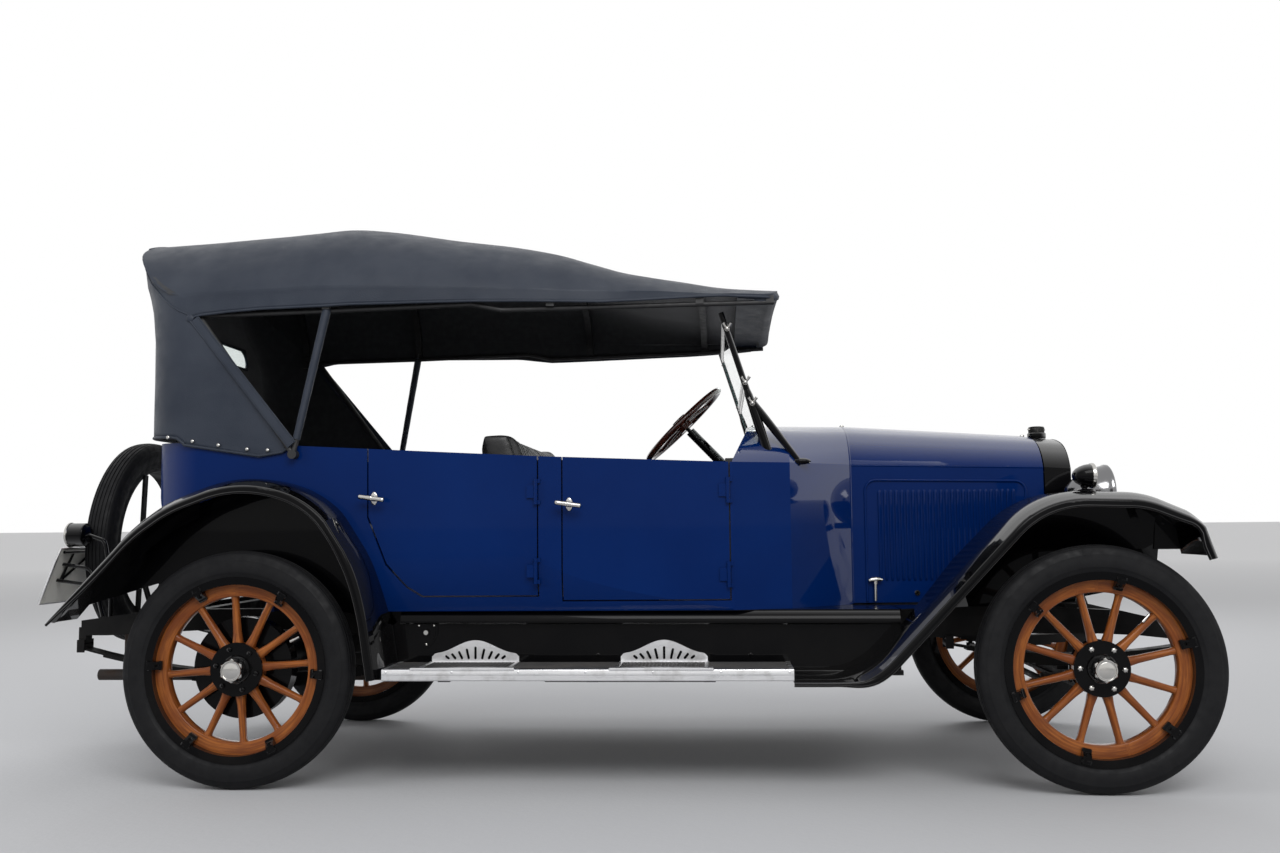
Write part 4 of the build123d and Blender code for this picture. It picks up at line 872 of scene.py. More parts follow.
def add_radiator():
    front = Piece("radiator_front", "car", BLACK, "radiator_core", BLACK, NICKEL)
    face = 1651.5
    line = arch_line(238, 642, 1079, 1174)
    for k in range(47):
        y = -230 + 10 * k
        top = max(p.y for a, p in zip(line, line[1:]) if min(a.x, p.x) - 1 <= y <= max(a.x, p.x) + 1)
        front.add(block((face, face + 3.4), (y - 1, y + 1), (643, top - 3), 0.3))
    for k in range(52):
        z = 648 + 10 * k
        half = 236 if z < 1079 else max(abs(p.x) for p in line if p.y >= z) - 3
        front.add(block((face + 0.4, face + 3.8), (-half, half), (z - 1, z + 1), 0.3))
    steps = ((1670.6, 1), (1671.8, 8), (1673.6, 12), (1673.2, 17), (1670.8, 21))
    front.add(arch_band(steps, 240, 640, 1080, 1176), NICKEL)
    steps = ((1669, -1), (1673.4, 0.4), (1674.4, 3), (1673.4, 5))
    front.add(arch_band(steps, 271, 598, 1083, 1208), BLACK)
    upright = Matrix.Rotation(pi / 2, 4, "X")
    neck = Matrix.Translation((1625, 0, 1216)) @ upright
    front.add(turned([(0, 33), (3, 35), (8, 35.6), (20, 35.6), (23, 33), (24, 25)], 40), BLACK, neck)
    cap = Matrix.Translation((1625, 0, 1238)) @ upright
    knob = [(1, 20), (1, 30.6), (20, 31.2), (25.4, 28), (27, 18), (27.6, 0.01)]
    front.add(turned(knob, 40, closed=False), at=cap)
    for k in range(2):
        turn = cap @ Matrix.Rotation(k * pi + 0.4, 4, "Y")
        front.add(bar((24, 14, 0), (40, 15, 0), 5, 12, 3.4), NICKEL, turn)
    front.done(sharp=40)


# Door handles and windshield

DOOR_HANDLES = [
    # door, handle's x, z, the skin's distance from the middle
    ("rear", -842, 992, 670), ("front", -152, 965, 666),
]
HANDLE_RUN = [
    # along the handle, radius
    (-46, 3), (-45, 6.5), (-42, 8.8), (-36, 8.7), (-22, 8.4), (-8, 9.4), (8, 9.4), (22, 8.4), (36, 8.7),
    (42, 8.8), (45, 6.5), (46, 3),
]
POST = ((554, 1120), (386, 1648))
POST_Y = 530


def add_handles():
    for door, x, z, skin in DOOR_HANDLES:
        for name, side in SIDES:
            handle = Piece(f"handle_{door}_{name}", f"door_{door}_{name}", NICKEL)

            def put(a, b, c):
                return Vector((x + a, side * (skin + b), z + c))

            rose = [[put(r * 13 * cos(tau * k / 24), out, r * 23 * sin(tau * k / 24)) for k in range(24)]
                    for out, r in ((-1, 1), (1.6, 1), (3.2, 0.9), (4, 0.7))]
            handle.add(rings(rose))
            handle.add(tube([put(0, out, 0) for out in (0, 6, 14, 38)], [11, 9, 7.6, 8], 20))
            handle.add(tube([put(a, 38, -a / 7) for a, r in HANDLE_RUN], [r for a, r in HANDLE_RUN], 18))
            handle.add(ball(put(0, 43, 0), (6, 5, 9), 16))
            handle.done(sharp=50)


def on_post(z, y, ahead=0.0):
    """A point on the windshield post's line at a height, moved square to it."""
    (x0, z0), (x1, z1) = POST
    along = Vector((x1 - x0, z1 - z0)).normalized()
    return Vector((x0 + (x1 - x0) * (z - z0) / (z1 - z0) + along.y * ahead, y, z - along.x * ahead))


def add_windshield():
    trim = Piece("windshield_trim", "car", BLACK, BLACK, NICKEL, "glass_edge")
    for heights, radii in (
        ((1112, 1150, 1230, 1350, 1375), [15, 17, 17.5, 14.5, 11]), ((1365, 1500, 1652), [11.5, 11.2, 10.6]),
    ):
        trim.both(tube([on_post(z, POST_Y) for z in heights], radii, 16))
    brace_top, brace_foot = on_post(1337, POST_Y), Vector((661, POST_Y, 1104))
    trim.both(tube([brace_top.lerp(brace_foot, k / 4) for k in range(5)], [13, 14.5, 14, 12, 11], 16))
    trim.both(ball((664, POST_Y, 1112), (34, 17, 12), 18))
    trim.both(bar((668, POST_Y, 1112), (694, POST_Y, 1108), 6.5, 14), NICKEL)
    trim.both(ball((556, POST_Y, 1118), (26, 20, 16), 18))
    for low, high in ((1214, 1382), (1408, 1616)):
        for z in (low, high):
            trim.add(tube([on_post(z, -512), on_post(z, 512)], 7.4, 14), NICKEL)
        trim.both(tube([on_post(low, 513), on_post(high, 513)], 6.2, 12), "glass_edge")
    for z in (1320, 1395, 1590):
        hub = on_post(z, POST_Y + 16, 2)

        def off(x, y, z):
            return hub + Vector((x, y, z))

        trim.both(bar(off(0, -14, 0), off(0, 6, 0), 9, 18), NICKEL)
        trim.both(ball(off(0, 8, 0), (8, 8, 8), 16), NICKEL)
        for lean in (-1, 1):
            wing = [off(0, 8, 0), off(9 * lean, 15, 9), off(15 * lean, 19, 19)]
            trim.both(tube(wing, [5, 4.4, 6], 12), NICKEL)
    trim.done(sharp=45)


# Lamps

LAMP_SHELL = [
    # x, radius: the outside from the back to the rim, then the inside
    (0, 0.01), (0, 20), (6, 32), (26, 54), (56, 76), (90, 92), (118, 101), (132, 104), (136, 107), (140, 108),
    (147, 107.6), (151, 104), (151, 98), (146, 95.6), (136, 94), (118, 84), (92, 68), (66, 44), (52, 18),
    (50, 0.01),
]
SIDE_LAMP = [(-40, 0.01), (-39, 8), (-35, 16), (-27, 24.5), (-15, 31.5), (-2, 36.6), (10, 39), (23, 39.6)]
SIDE_RING = [(19, 39.4), (20, 42), (24, 43.6), (30, 43), (33, 40), (33, 36), (29, 35)]


def add_lamps():
    lamps = Piece("headlamp_forms", "car", NICKEL, "lamp_shell", BLACK, "lamp_glass")
    for y in (-400, 400):
        at = (1612, y, 985)
        lamps.add(turned_x(LAMP_SHELL, at, 64))
        lamps.add(turned_x([(144, 96), (149, 66), (151.4, 34), (152, 0.01)], at, 64), "lamp_glass")
        lamps.add(ball((1692, y, 985), (16, 11, 11), 16), "lamp_glass")
        lamps.add(tube([(1715, y, z) for z in (884, 896, 912)], [19, 15, 12], 20), BLACK)
        lamps.add(ball((1715, y, 884), (16, 20, 20), 20), BLACK)
    lamps.add(tube([(1715, -490, 880), (1715, 490, 880)], 13, 20), BLACK)
    lamps.done("headlamps", sharp=36)

    side_lamps = Piece("side_lamp_forms", "car", BLACK, BLACK, NICKEL, "lamp_glass")
    for y in (-680, 680):
        at = (1600, y, 1043)
        side_lamps.add(turned_x(SIDE_LAMP, at))
        side_lamps.add(turned_x(SIDE_RING, at), NICKEL)
        side_lamps.add(turned_x([(30, 37), (33.6, 24), (35, 0.01)], at), "lamp_glass")
        side_lamps.add(tube([(1600, y, z) for z in (985, 996, 1001, 1010)], [16, 10, 9, 15], 20))
        side_lamps.add(ball((1600, y, 992), (36, 28, 8), 22))
    side_lamps.done("side_lamps", sharp=36)

    tail = Piece("tail_lamp_forms", "car", NICKEL, NICKEL, "lamp_red")
    at = (-2060, -462, 872)
    tail.add(turned_x([(5, 43), (2, 46.4), (-3, 47), (-6.4, 44), (-6.4, 39), (-3, 38)], at))
    tail.add(turned_x([(-4, 39.6), (-8, 26), (-9.4, 0.01)], at), "lamp_red")
    tail.done()


# Seats, made as stuffed covers

SEATS = [
    # name, side outline, half width, channelled side's direction, replaces
    ("front_cushion", [(-292, 806), (182, 806), (182, 915), (150, 922), (-292, 912)], 562,
     (0, 0, 1), "front_seat"),
    ("front_back", [(-398, 806), (-296, 806), (-283, 925), (-396, 1232), (-490, 1224)], 562,
     (0.93, 0, 0.36), None),
    ("rear_cushion", [(-1470, 806), (-968, 806), (-968, 915), (-1000, 922), (-1470, 912)], 582,
     (0, 0, 1), "rear_seat"),
    ("rear_back",
     [(-1552, 822), (-1486, 806), (-1482, 930), (-1546, 1202), (-1632, 1202), (-1632, 1108)], 582,
     (0.97, 0, 0.22), None),
]
SEAT_FLOOR = 802
VOXEL = 0.012
CHANNELS = 15
PUFF = 0.022


def numbers(items, key):
    """A vector of each item, as rows of an array."""
    held = np.empty(len(items) * 3, np.float32)
    items.foreach_get(key, held)
    return held.reshape(-1, 3)


def settled(made):
    """The piece's mesh with its modifiers applied."""
    graph = bpy.context.evaluated_depsgraph_get()
    data = bpy.data.meshes.new_from_object(made.evaluated_get(graph), depsgraph=graph)
    made.modifiers.clear()
    old = made.data
    made.data = data
    bpy.data.meshes.remove(old)


def stuffed(made):
    """Blow the cover up a little with Blender's cloth, and hold each point near its start."""
    start = numbers(made.data.vertices, "co")
    cover = made.modifiers.new("cloth", "CLOTH")
    cover.settings.use_pressure = True
    cover.settings.uniform_pressure_force = 4
    cover.settings.quality = 4
    cover.settings.effector_weights.gravity = 0
    for step in range(1, 21):
        bpy.context.scene.frame_set(step)
    settled(made)
    bpy.context.scene.frame_set(1)
    moved = numbers(made.data.vertices, "co") - start
    far = np.linalg.norm(moved, axis=1, keepdims=True)
    moved *= np.minimum(1, PUFF / np.maximum(far, 1e-9))
    made.data.vertices.foreach_set("co", (start + moved).ravel())


def add_seats():
    for name, side, half, up, replaced in SEATS:
        seat = Piece(name, "car", LEATHER).add(plate(side, -half, half))
        made = seat.done(*([replaced] if replaced else []))
        remesh = made.modifiers.new("remesh", "REMESH")
        remesh.mode = "VOXEL"
        remesh.voxel_size = VOXEL
        remesh.use_smooth_shade = True
        made.modifiers.new("smooth", "SMOOTH").iterations = 8
        settled(made)
        stuffed(made)
        finer = made.modifiers.new("finer", "SUBSURF")
        finer.levels = finer.render_levels = 1
        settled(made)
        data = made.data
        where = numbers(data.vertices, "co")
        toward = numbers(data.vertex_normals, "vector") @ np.array(up)
        share = np.clip((toward - 0.35) / 0.45, 0, 1)[:, None]
        pitch = 2 * (half - 40) / 1000 / CHANNELS
        inside = np.abs(where[:, 1]) < (half - 30) / 1000
        phase = (where[:, 1] + (half - 40) / 1000) / pitch
        off = np.abs(phase - np.round(phase)) * pitch
        groove = -0.010 * np.exp(-(off / 0.006) ** 2) + 0.004 * np.sin(np.pi * np.clip(off / pitch * 2, 0, 1))
        where += share * np.where(inside, groove, 0)[:, None] * np.array(up)
        where[:, 2] = np.maximum(where[:, 2], SEAT_FLOOR / 1000)
        data.vertices.foreach_set("co", where.ravel())
        data.update()
        data.materials.clear()
        data.materials.append(finishes[LEATHER])
        smooth_skin(data)


# The folding top

CROWN = [
    # x, height over the middle
    (-1809, 2036), (-1700, 2041), (-1587, 2046), (-1279, 2067), (-1087, 2083), (-1028, 2086), (-960, 2081),
    (-892, 2073), (-822, 2063), (-606, 2024), (-404, 1994), (-300, 1973), (-205, 1949), (36, 1857),
    (251, 1806), (403, 1769), (590, 1760),
]
ROOF_SIDE = [
    # x, half width, height of the shoulder
    (-1809, 645, 1730), (-1028, 672, 1760), (-220, 660, 1730), (310, 622, 1712), (590, 585, 1706),
]
BACK = [
    # z, rear x, half width
    (1100, -1710, 677), (1222, -1710, 676.5), (1580, -1719, 668), (1690, -1741, 662), (1790, -1779, 656),
    (1955, -1808, 646), (2090, -1809, 645),
]
ROOF_REAR, ROOF_FRONT = -1809, 590
ROOF_X = [-1809, -1806, -1800, -1790, -1776, -1758, -1736, -1710, -1680, -1645, -1612, -1579, -1555]
BOWS = (-1028, -220, 310)
CORNER = 230
FRONT_CORNER = 64
APEX = (-1532, 1646)
VALANCE_NEAR = [
    # x, height of the lower edge on the car's right, as the photo shows it
    (-1532, 1646), (-1501, 1658), (-1398, 1669), (-1272, 1678), (-1052, 1682), (-940, 1686), (-505, 1690),
    (-40, 1681), (390, 1700), (590, 1694),
]
VALANCE_FAR = [
    (-1532, 1640), (-1430, 1661), (-1120, 1676), (-551, 1668), (-400, 1650), (242, 1662), (480, 1672),
    (590, 1680),
]
DIAGONAL_FOOT = (-1148, 1190)
STRAP = ((-1512, 664, 1644), (-1134, 701, 1184))
SLEEVE = ((-1128, 690, 1160), (-1028, 646, 1678))
HEM = [(-1760, 1222), (-1614, 1216), (-1587, 1198), (-1257, 1146), (-1166, 1160), (-1148, 1176)]
HEADER = [
    # x, depth below the cloth
    (446, 7), (582, 4), (592, 8), (597, 20), (594, 32), (580, 40), (562, 40), (552, 30), (446, 28),
]
CLOTH_T = 4
SKIRT_ROWS = 6
QUARTER_ROWS = 34
HALF_ROWS = 24
TRIANGLE_STEPS = 14
ACROSS = [sin(pi / 2 * k / HALF_ROWS) for k in range(-HALF_ROWS, HALF_ROWS + 1)]
WINDOW_HALF, WINDOW_LOW, WINDOW_HIGH = 350, 1592, 1680
DECAY = 2.718


def hump(t):
    """A smooth bell, 1 at its middle."""
    return DECAY ** (-t * t)


def roof_height(x, y):
    """The height of the cloth over a point."""
    half, shoulder = between(ROOF_SIDE, x)
    crown = sum(between(CROWN, x + step)[0] for step in (-36, -12, 12, 36)) / 4
    y = min(abs(y), half) / half * half
    a, b, c = shoulder_points(half, shoulder, crown)
    if y <= c.x:
        drop = crown - c.y
        radius = (c.x ** 2 + drop ** 2) / (2 * drop)
        return crown - radius + sqrt(radius ** 2 - y ** 2)
    middle = circle_through(a, b, c)
    radius = (a - middle).length
    return max(shoulder, middle.y + sqrt(max(0, radius ** 2 - (y - middle.x) ** 2)))


def puckers(x, y, z):
    """Small pulls in the stretched cloth, in millimetres."""
    long = noise.noise(Vector((x * 0.0022, y * 0.004, z * 0.011)))
    short = noise.noise(Vector((x * 0.0075 + 9, y * 0.004, z * 0.02 + x * 0.006)))
    return long * 5 + short * (1.5 + 2.5 * sum(hump((x - bow) / 130) for bow in BOWS))


def hung(p, depth):
    """How far a point of hanging cloth lies in or out between its fixings."""
    wave = noise.noise(Vector((p.x * 0.004, p.y * 0.003, p.z * 0.0045))) * 0.7
    wave += noise.noise(Vector((p.x * 0.011 + 7, p.y * 0.01, p.z * 0.006))) * 0.3
    return wave * depth


def roof_reach(x):
    """How far the cloth reaches to the side, round its corners."""
    half = between(ROOF_SIDE, x)[0]
    for corner, into in ((CORNER, ROOF_REAR + CORNER - x), (FRONT_CORNER, x - ROOF_FRONT + FRONT_CORNER)):
        if into > 0:
            half += sqrt(max(0, corner ** 2 - into ** 2)) - corner
    return half


def side_point(x, z):
    """A point of the upright cloth on the car's left, straight below the roof's edge."""
    lower = between(BACK, z)[1]
    top = between(ROOF_SIDE, x)[0]
    share = min(1, max(0, (1800 - z) / 200))
    rear = min(1, max(0, (-900 - x) / 350))
    return Vector((x, top + rear * (lower - top) * share + (1 - rear) * (1700 - z) * 0.02, z))


def corner_at(z):
    """The radius of the curtain's rear corners."""
    return min(CORNER, APEX[0] - 5 - between(BACK, z)[0])


def slack(row):
    """How loosely the cloth hangs at a row, none at its upper and lower fixing."""
    return sin(pi * row / QUARTER_ROWS) ** 0.5


def on_side(points, side):
    return [p if side > 0 else across(p) for p in points]


def window_outline(grow):
    """The back window's outline with its round ends, as (y, z)."""
    radius = (WINDOW_HIGH - WINDOW_LOW) / 2 + grow
    middle = (WINDOW_HIGH + WINDOW_LOW) / 2
    out = []
    for side in (1, -1):
        for k in range(13):
            a = radians(side * 90 - 15 * k)
            out.append((side * (WINDOW_HALF + grow - radius) + radius * cos(a), middle + radius * sin(a)))
    return out


def open_window(made):
    """Cut the back window out of the cloth."""
    radius = (WINDOW_HIGH - WINDOW_LOW) / 2
    middle = (WINDOW_HIGH + WINDOW_LOW) / 2
    shape = bmesh.new()
    shape.from_mesh(made.data)
    ends = []
    for side in (-1, 1):
        for k in range(-2, 3):
            a = radians(36 * k)
            y = side * (WINDOW_HALF - radius + radius * cos(a))
            ends.append(((0, y, middle + radius * sin(a)), (0, side * cos(a), sin(a))))
    for at, way in [((0, 0, WINDOW_HIGH), (0, 0, 1)), ((0, 0, WINDOW_LOW), (0, 0, 1))] + ends:
        faces = []
        for face in shape.faces:
            p = face.calc_center_median()
            if p.x < -1.6 and abs(p.z - middle / 1000) < 0.2:
                faces.append(face)
        geometry = (
            faces + list({e for f in faces for e in f.edges}) + list({v for f in faces for v in f.verts})
        )
        bmesh.ops.bisect_plane(shape, geom=geometry, plane_co=Vector(at) / 1000, plane_no=way)
    inside = []
    for face in shape.faces:
        p = face.calc_center_median() * 1000
        within = all((p.y - at[1]) * way[1] + (p.z - at[2]) * way[2] <= 0 for at, way in ends)
        if p.x < -1600 and within and abs(p.z - middle) < radius:
            inside.append(face)
    bmesh.ops.delete(shape, geom=inside, context="FACES")
    shape.to_mesh(made.data)
    shape.free()


def ribbon(points, width, thick):
    """A flat band along points in the plane of the car's side."""
    loops = []
    for k, p in enumerate(points):
        way = (points[min(k + 1, len(points) - 1)] - points[max(k - 1, 0)]).normalized()
        over = Vector((way.z, 0, -way.x)).normalized() * width
        out = Vector((0, thick, 0))
        loops.append([p + over * a + out * b for a, b in (
            (1, 0.3), (0.92, 1), (0.3, 1.2), (-0.3, 1.2), (-0.92, 1), (-1, 0.3), (-1, -0.6), (1, -0.6)
        )])
    return rings(loops)


def quarter_cloth(x, start):
    """A column of the rear quarter on the car's left, from the roof's edge down to the hem."""
    into = (ROOF_REAR + CORNER - x) / CORNER
    ahead = min(1, (APEX[0] - x) / (APEX[0] - ROOF_REAR - CORNER))
    along = (APEX[0] - x) / (APEX[0] - ROOF_REAR)
    seam_z = APEX[1] + (start.z - 14 - APEX[1]) * along ** 0.85
    low = between(HEM, x)[0]
    column = []
    for v in range(1, QUARTER_ROWS + 1):
        if v <= SKIRT_ROWS:
            z = start.z + (seam_z - start.z) * v / SKIRT_ROWS
        else:
            z = seam_z + (low - seam_z) * (v - SKIRT_ROWS) / (QUARTER_ROWS - SKIRT_ROWS)
        rear, half = between(BACK, z)
        bend = corner_at(z)
        if into > 0:
            p = Vector((rear + bend - bend * into, half - bend + bend * sqrt(max(0, 1 - into ** 2)), z))
        else:
            p = side_point(APEX[0] + (rear + bend - APEX[0]) * ahead, z)
        p.y += hung(p, 8) * slack(v)
        column.append(p)
    return column


def valance_cloth(x, start, low):
    """A column of the valance on the car's left."""
    inset = max(0, between(ROOF_SIDE, x)[0] - roof_reach(x))
    if x > ROOF_FRONT - FRONT_CORNER:
        low = max(low, start.z - 24)
    column = []
    for v in range(1, SKIRT_ROWS + 1):
        p = side_point(x, start.z + (low - start.z) * v / SKIRT_ROWS)
        p.y -= inset
        p.y += hung(p, 7) * v / SKIRT_ROWS + 2.5 * noise.noise(Vector((x * 0.02, 3, 0))) * v / SKIRT_ROWS
        column.append(p)
    return column


def back_cloth(t, start, corner_z):
    """A column of the back, between the corners; corner_z holds the heights along the corner."""
    column = [start]
    for v in range(1, QUARTER_ROWS + 1):
        share = (corner_z[0] - corner_z[v]) / (corner_z[0] - corner_z[-1])
        z = start.z + (corner_z[-1] - start.z) * share
        rear, half = between(BACK, z)
        p = Vector((rear, ACROSS[HALF_ROWS + t] * (half - corner_at(z)), z))
        p.x += hung(p, 6) * slack(v) * min(1, (HALF_ROWS - t) / 4)
        column.append(p)
    return column


def triangle_cloth(share, rows):
    """A column of the corner ahead of the apex, under the slanting front edge."""
    x = APEX[0] + (DIAGONAL_FOOT[0] - APEX[0]) * share
    high = APEX[1] + (DIAGONAL_FOOT[1] - APEX[1]) * share
    low = between(HEM, x)[0]
    column = []
    for v in range(rows):
        p = side_point(x, high + (low - high) * (v / (rows - 1)))
        p.y += hung(p, 8) * slack(SKIRT_ROWS + v) * (1 - share)
        column.append(p)
    return column


def add_top():
    top = Piece("top_cover", "car", CLOTH, CLOTH, "top_lining")
    xs = ROOF_X + [APEX[0] + k * (ROOF_FRONT - APEX[0]) / 90 for k in range(91)]
    roof = []
    for x in xs:
        reach = roof_reach(x)
        row = []
        for t in ACROSS:
            z = roof_height(x, reach * t)
            row.append(Vector((x, reach * t, z + puckers(x, reach * t, z) * t * t)))
        roof.append(row)
    top.add(rings(roof, closed=False))
    behind = [k for k, x in enumerate(xs) if x <= APEX[0] + 1]
    # every cloth hangs as columns, kept by the side of the car, +1 for the left and -1 for the right
    quarters, skirts, triangles = {}, {}, {}
    for side in (1, -1):
        edge = [row[-1 if side > 0 else 0] for row in roof]
        quarters[side] = [[edge[k]] + on_side(quarter_cloth(xs[k], edge[k]), side) for k in reversed(behind)]
        top.add(rings(quarters[side], closed=False))
    for side, valance in ((1, VALANCE_FAR), (-1, VALANCE_NEAR)):
        edge = [row[-1 if side > 0 else 0] for row in roof]
        skirts[side] = [quarters[side][0][:SKIRT_ROWS + 1]]
        for x, start in list(zip(xs, edge))[len(behind):]:
            skirts[side].append([start] + on_side(valance_cloth(x, start, between(valance, x)[0]), side))
        top.add(rings(skirts[side], closed=False))
    corner_z = [p.z for p in quarters[1][-1]]
    back = [back_cloth(t, roof[0][HALF_ROWS + t], corner_z) for t in range(HALF_ROWS)] + [quarters[1][-1]]
    top.both(rings(back, closed=False))
    for side in (1, -1):
        first = quarters[side][0][SKIRT_ROWS:]
        triangles[side] = [first]
        for k in range(1, TRIANGLE_STEPS + 1):
            triangles[side].append(on_side(triangle_cloth(k / TRIANGLE_STEPS, len(first)), side))
        top.add(rings(triangles[side], closed=False))
    cover = top.done("top_fabric", sharp=50, weld=1.2)
    open_window(cover)
    thick = cover.modifiers.new("thickness", "SOLIDIFY")
    thick.thickness = CLOTH_T / 1000
    thick.offset = -1
    thick.material_offset = 1
    thick.material_offset_rim = 0

    trim = Piece("top_trim", "car", CLOTH, CLOTH, NICKEL)
    for side in (1, -1):
        for columns, row, radius, sides in (
            (skirts, -1, 4.5, 8), (quarters, -1, 5, 8), (triangles, -1, 5, 8), (triangles, 0, 5, 10),
        ):
            trim.add(tube([column[row] for column in columns[side]], radius, sides))
        low, high = Vector(STRAP[0]), Vector(STRAP[1])
        run = [low.lerp(high, k / 16) for k in range(17)]
        for width, out in ((18, 0), (12, 3)):
            trim.add(ribbon([Vector((p.x + 3, side * (p.y + out), p.z)) for p in run], width, 4.5))
        trim.add(tube([column[SKIRT_ROWS] for column in quarters[side]], 3.4, 8))
        low, high = (Vector((x, side * y, z)) for x, y, z in SLEEVE)
        trim.add(tube([low.lerp(high, k / 12) for k in range(1, 13)],
                      [12.5 + 3 * k / 12 + 0.5 * (k % 2) for k in range(1, 13)], 16))
        trim.add(ball((APEX[0] + 6, side * 664, APEX[1] + 2), (15, 7, 15), 14))
    trim.both(tube([column[-1] for column in back], 5, 8))
    trim.both(tube([column[0] for column in back[::-1]], 3, 8))
    for x, z in ((-1590, 1217), (-1500, 1202), (-1405, 1187), (-1300, 1171), (-1225, 1167)):
        p = side_point(x, z)
        trim.both(ball((p.x, p.y + 5, p.z), (7, 4.5, 7), 14), NICKEL)
    for y in (90, 230, 370):
        trim.both(ball((-1715, y, 1240), (4.5, 7, 7), 14), NICKEL)
    trim_made = trim.done(sharp=50)

    loops = []
    reach = between(ROOF_SIDE, ROOF_FRONT)[0] - 2
    for t in ACROSS:
        y = t * reach
        into = max(0, abs(y) - reach + FRONT_CORNER)
        bend = FRONT_CORNER - sqrt(max(0, FRONT_CORNER ** 2 - into ** 2))
        loop = []
        for x, drop in HEADER:
            at = x - bend * (x - 446) / 140
            loop.append((at, y, roof_height(min(at, ROOF_FRONT), y) - drop * (1 - 0.2 * t ** 8)))
        loops.append(loop)
    Piece("top_header", "car", CLOTH).add(rings(loops)).done(sharp=60)

    window = Piece("back_window", "car", CLOTH, CLOTH, "window_glass")
    for grow, radius, out in ((0, 6.5, 3), (17, 2.2, 2.5)):
        run = [Vector((between(BACK, z)[0] - out, y, z)) for y, z in window_outline(grow)]
        window.add(tube(run, radius, 10, closed=True))
    panes = []
    for z in (WINDOW_LOW - 6, WINDOW_HIGH + 6):
        rear = between(BACK, z)[0]
        panes.append([(rear + x, side * WINDOW_HALF, z) for x, side in ((1, -1), (1, 1), (3, 1), (3, -1))])
    window.add(rings(panes), "window_glass")
    window_made = window.done(sharp=50)


# Forms changed from the CAD's own meshes

REAR_FENDER_PATH = [(-2000, 512), (-1630, 930), (-1270, 1060), (-1025, 985), (-810, 660), (-765, 385)]
REAR_FENDER_BENDS = (650, 450, 280, 600)
FRONT_FENDER_PATH = [(606, 379.5), (833, 379.5), (1417, 995), (1760, 985), (1935, 915), (1992, 730)]
FRONT_FENDER_BENDS = (260, 340, 300, 90)
FENDER_LIP = 50
TAIL_FROM = (-1630, 930)
TAIL_LENGTH = 558
TAIL_WAY = (0.663, 0.749)
TAIL_SHARE = 0.85
CROWN_LIFT = 28
LEG_SHIFT = 30
NOSE_RISE = 0.26
NOSE_PUSH = 14


def smooth(t):
    t = min(1, max(0, t))
    return t * t * (3 - 2 * t)


def along_side(points, bends, steps=14):
    """A run of (x, z) points in the car's middle plane, with rounded corners."""
    return rounded([(x, 0, z) for x, z in points], bends, steps)


def copied(node):
    """A copy of a CAD node's mesh in an object of its own, and the copy opened for changes."""
    made = linked(f"{node}_form", nodes[node].data.copy())
    shape = bmesh.new()
    shape.from_mesh(made.data)
    return made, shape


def put_in_place(made, shape, node):
    shape.to_mesh(made.data)
    shape.free()
    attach(made, "car")
    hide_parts(node)


def everything(shape):
    return shape.verts[:] + shape.edges[:] + shape.faces[:]


def rear_form(p):
    """Where the photo has a point of the CAD's rear fender: a shorter tail and a rounder crown."""
    x, y, z = p
    along = (TAIL_FROM[0] - x) * TAIL_WAY[0] + (TAIL_FROM[1] - z) * TAIL_WAY[1]
    inward = (x - TAIL_FROM[0]) * TAIL_WAY[1] - (z - TAIL_FROM[1]) * TAIL_WAY[0]
    if along > 0 and inward < 120:
        if abs(y) > 770 and inward > 0:
            inward *= 1 - 0.75 * min(1, along / TAIL_LENGTH) ** 1.5
        along *= TAIL_SHARE
        x = TAIL_FROM[0] - TAIL_WAY[0] * along + TAIL_WAY[1] * inward
        z = TAIL_FROM[1] - TAIL_WAY[1] * along - TAIL_WAY[0] * inward
    lift = CROWN_LIFT * smooth((x + 1900) / 420) * smooth((z - 560) / 380)
    shift = LEG_SHIFT * smooth((x + 1180) / 220) * hump((z - 830) / 170)
    return Vector((x + shift, y, z + lift))


def front_form(p):
    """Where the photo has a point of the CAD's front fender: a lower lip at the board and a fuller nose."""
    x, y, z = p
    if abs(y) > 790:
        z += 34 * min(1, max(0, (385 - z) / 55)) * (1 - smooth((x - 740) / 190))
    nose = smooth((x - 1850) / 60)
    if z < 900:
        z += (900 - z) * NOSE_RISE * nose
    x += NOSE_PUSH * nose * hump((z - 862) / 38)
    if z > 850:
        z -= 8 * hump((x - 1935) / 45)
    return Vector((x, y, z))


def fender_lip(path, bends, form):
    """The lower edge of a fender's outer lip."""
    run = even(along_side(path, bends), 30)
    lip = []
    for k, p in enumerate(run):
        way = (run[min(k + 1, len(run) - 1)] - run[max(k - 1, 0)]).normalized()
        lip.append(form((p.x + way.z * FENDER_LIP, 827, p.z - way.x * FENDER_LIP)))
    return lip


def reshaped(node, form, drop):
    """A copy of a CAD sheet in its new form, without the faces that drop picks."""
    made, shape = copied(node)
    for at, way in (((1.955, 0, 0), (1, 0, 0)), ((0, 0, 0.792), (0, 0, 1))):
        bmesh.ops.bisect_plane(shape, geom=everything(shape), plane_co=at, plane_no=way)
    bmesh.ops.delete(shape, geom=[face for face in shape.faces if drop(face)], context="FACES")
    for vert in shape.verts:
        p = vert.co * 1000
        vert.co = (form((p.x - SHIFT, p.y, p.z)) + Vector((SHIFT, 0, 0))) / 1000
    put_in_place(made, shape, node)


def inner_wall(face):
    return all(abs(vert.co.y) < 0.6195 for vert in face.verts)


def wall_corner(face):
    p = face.calc_center_median()
    return 1.955 < p.x < 2.004 and p.z < 0.792 and abs(p.y) < 0.52


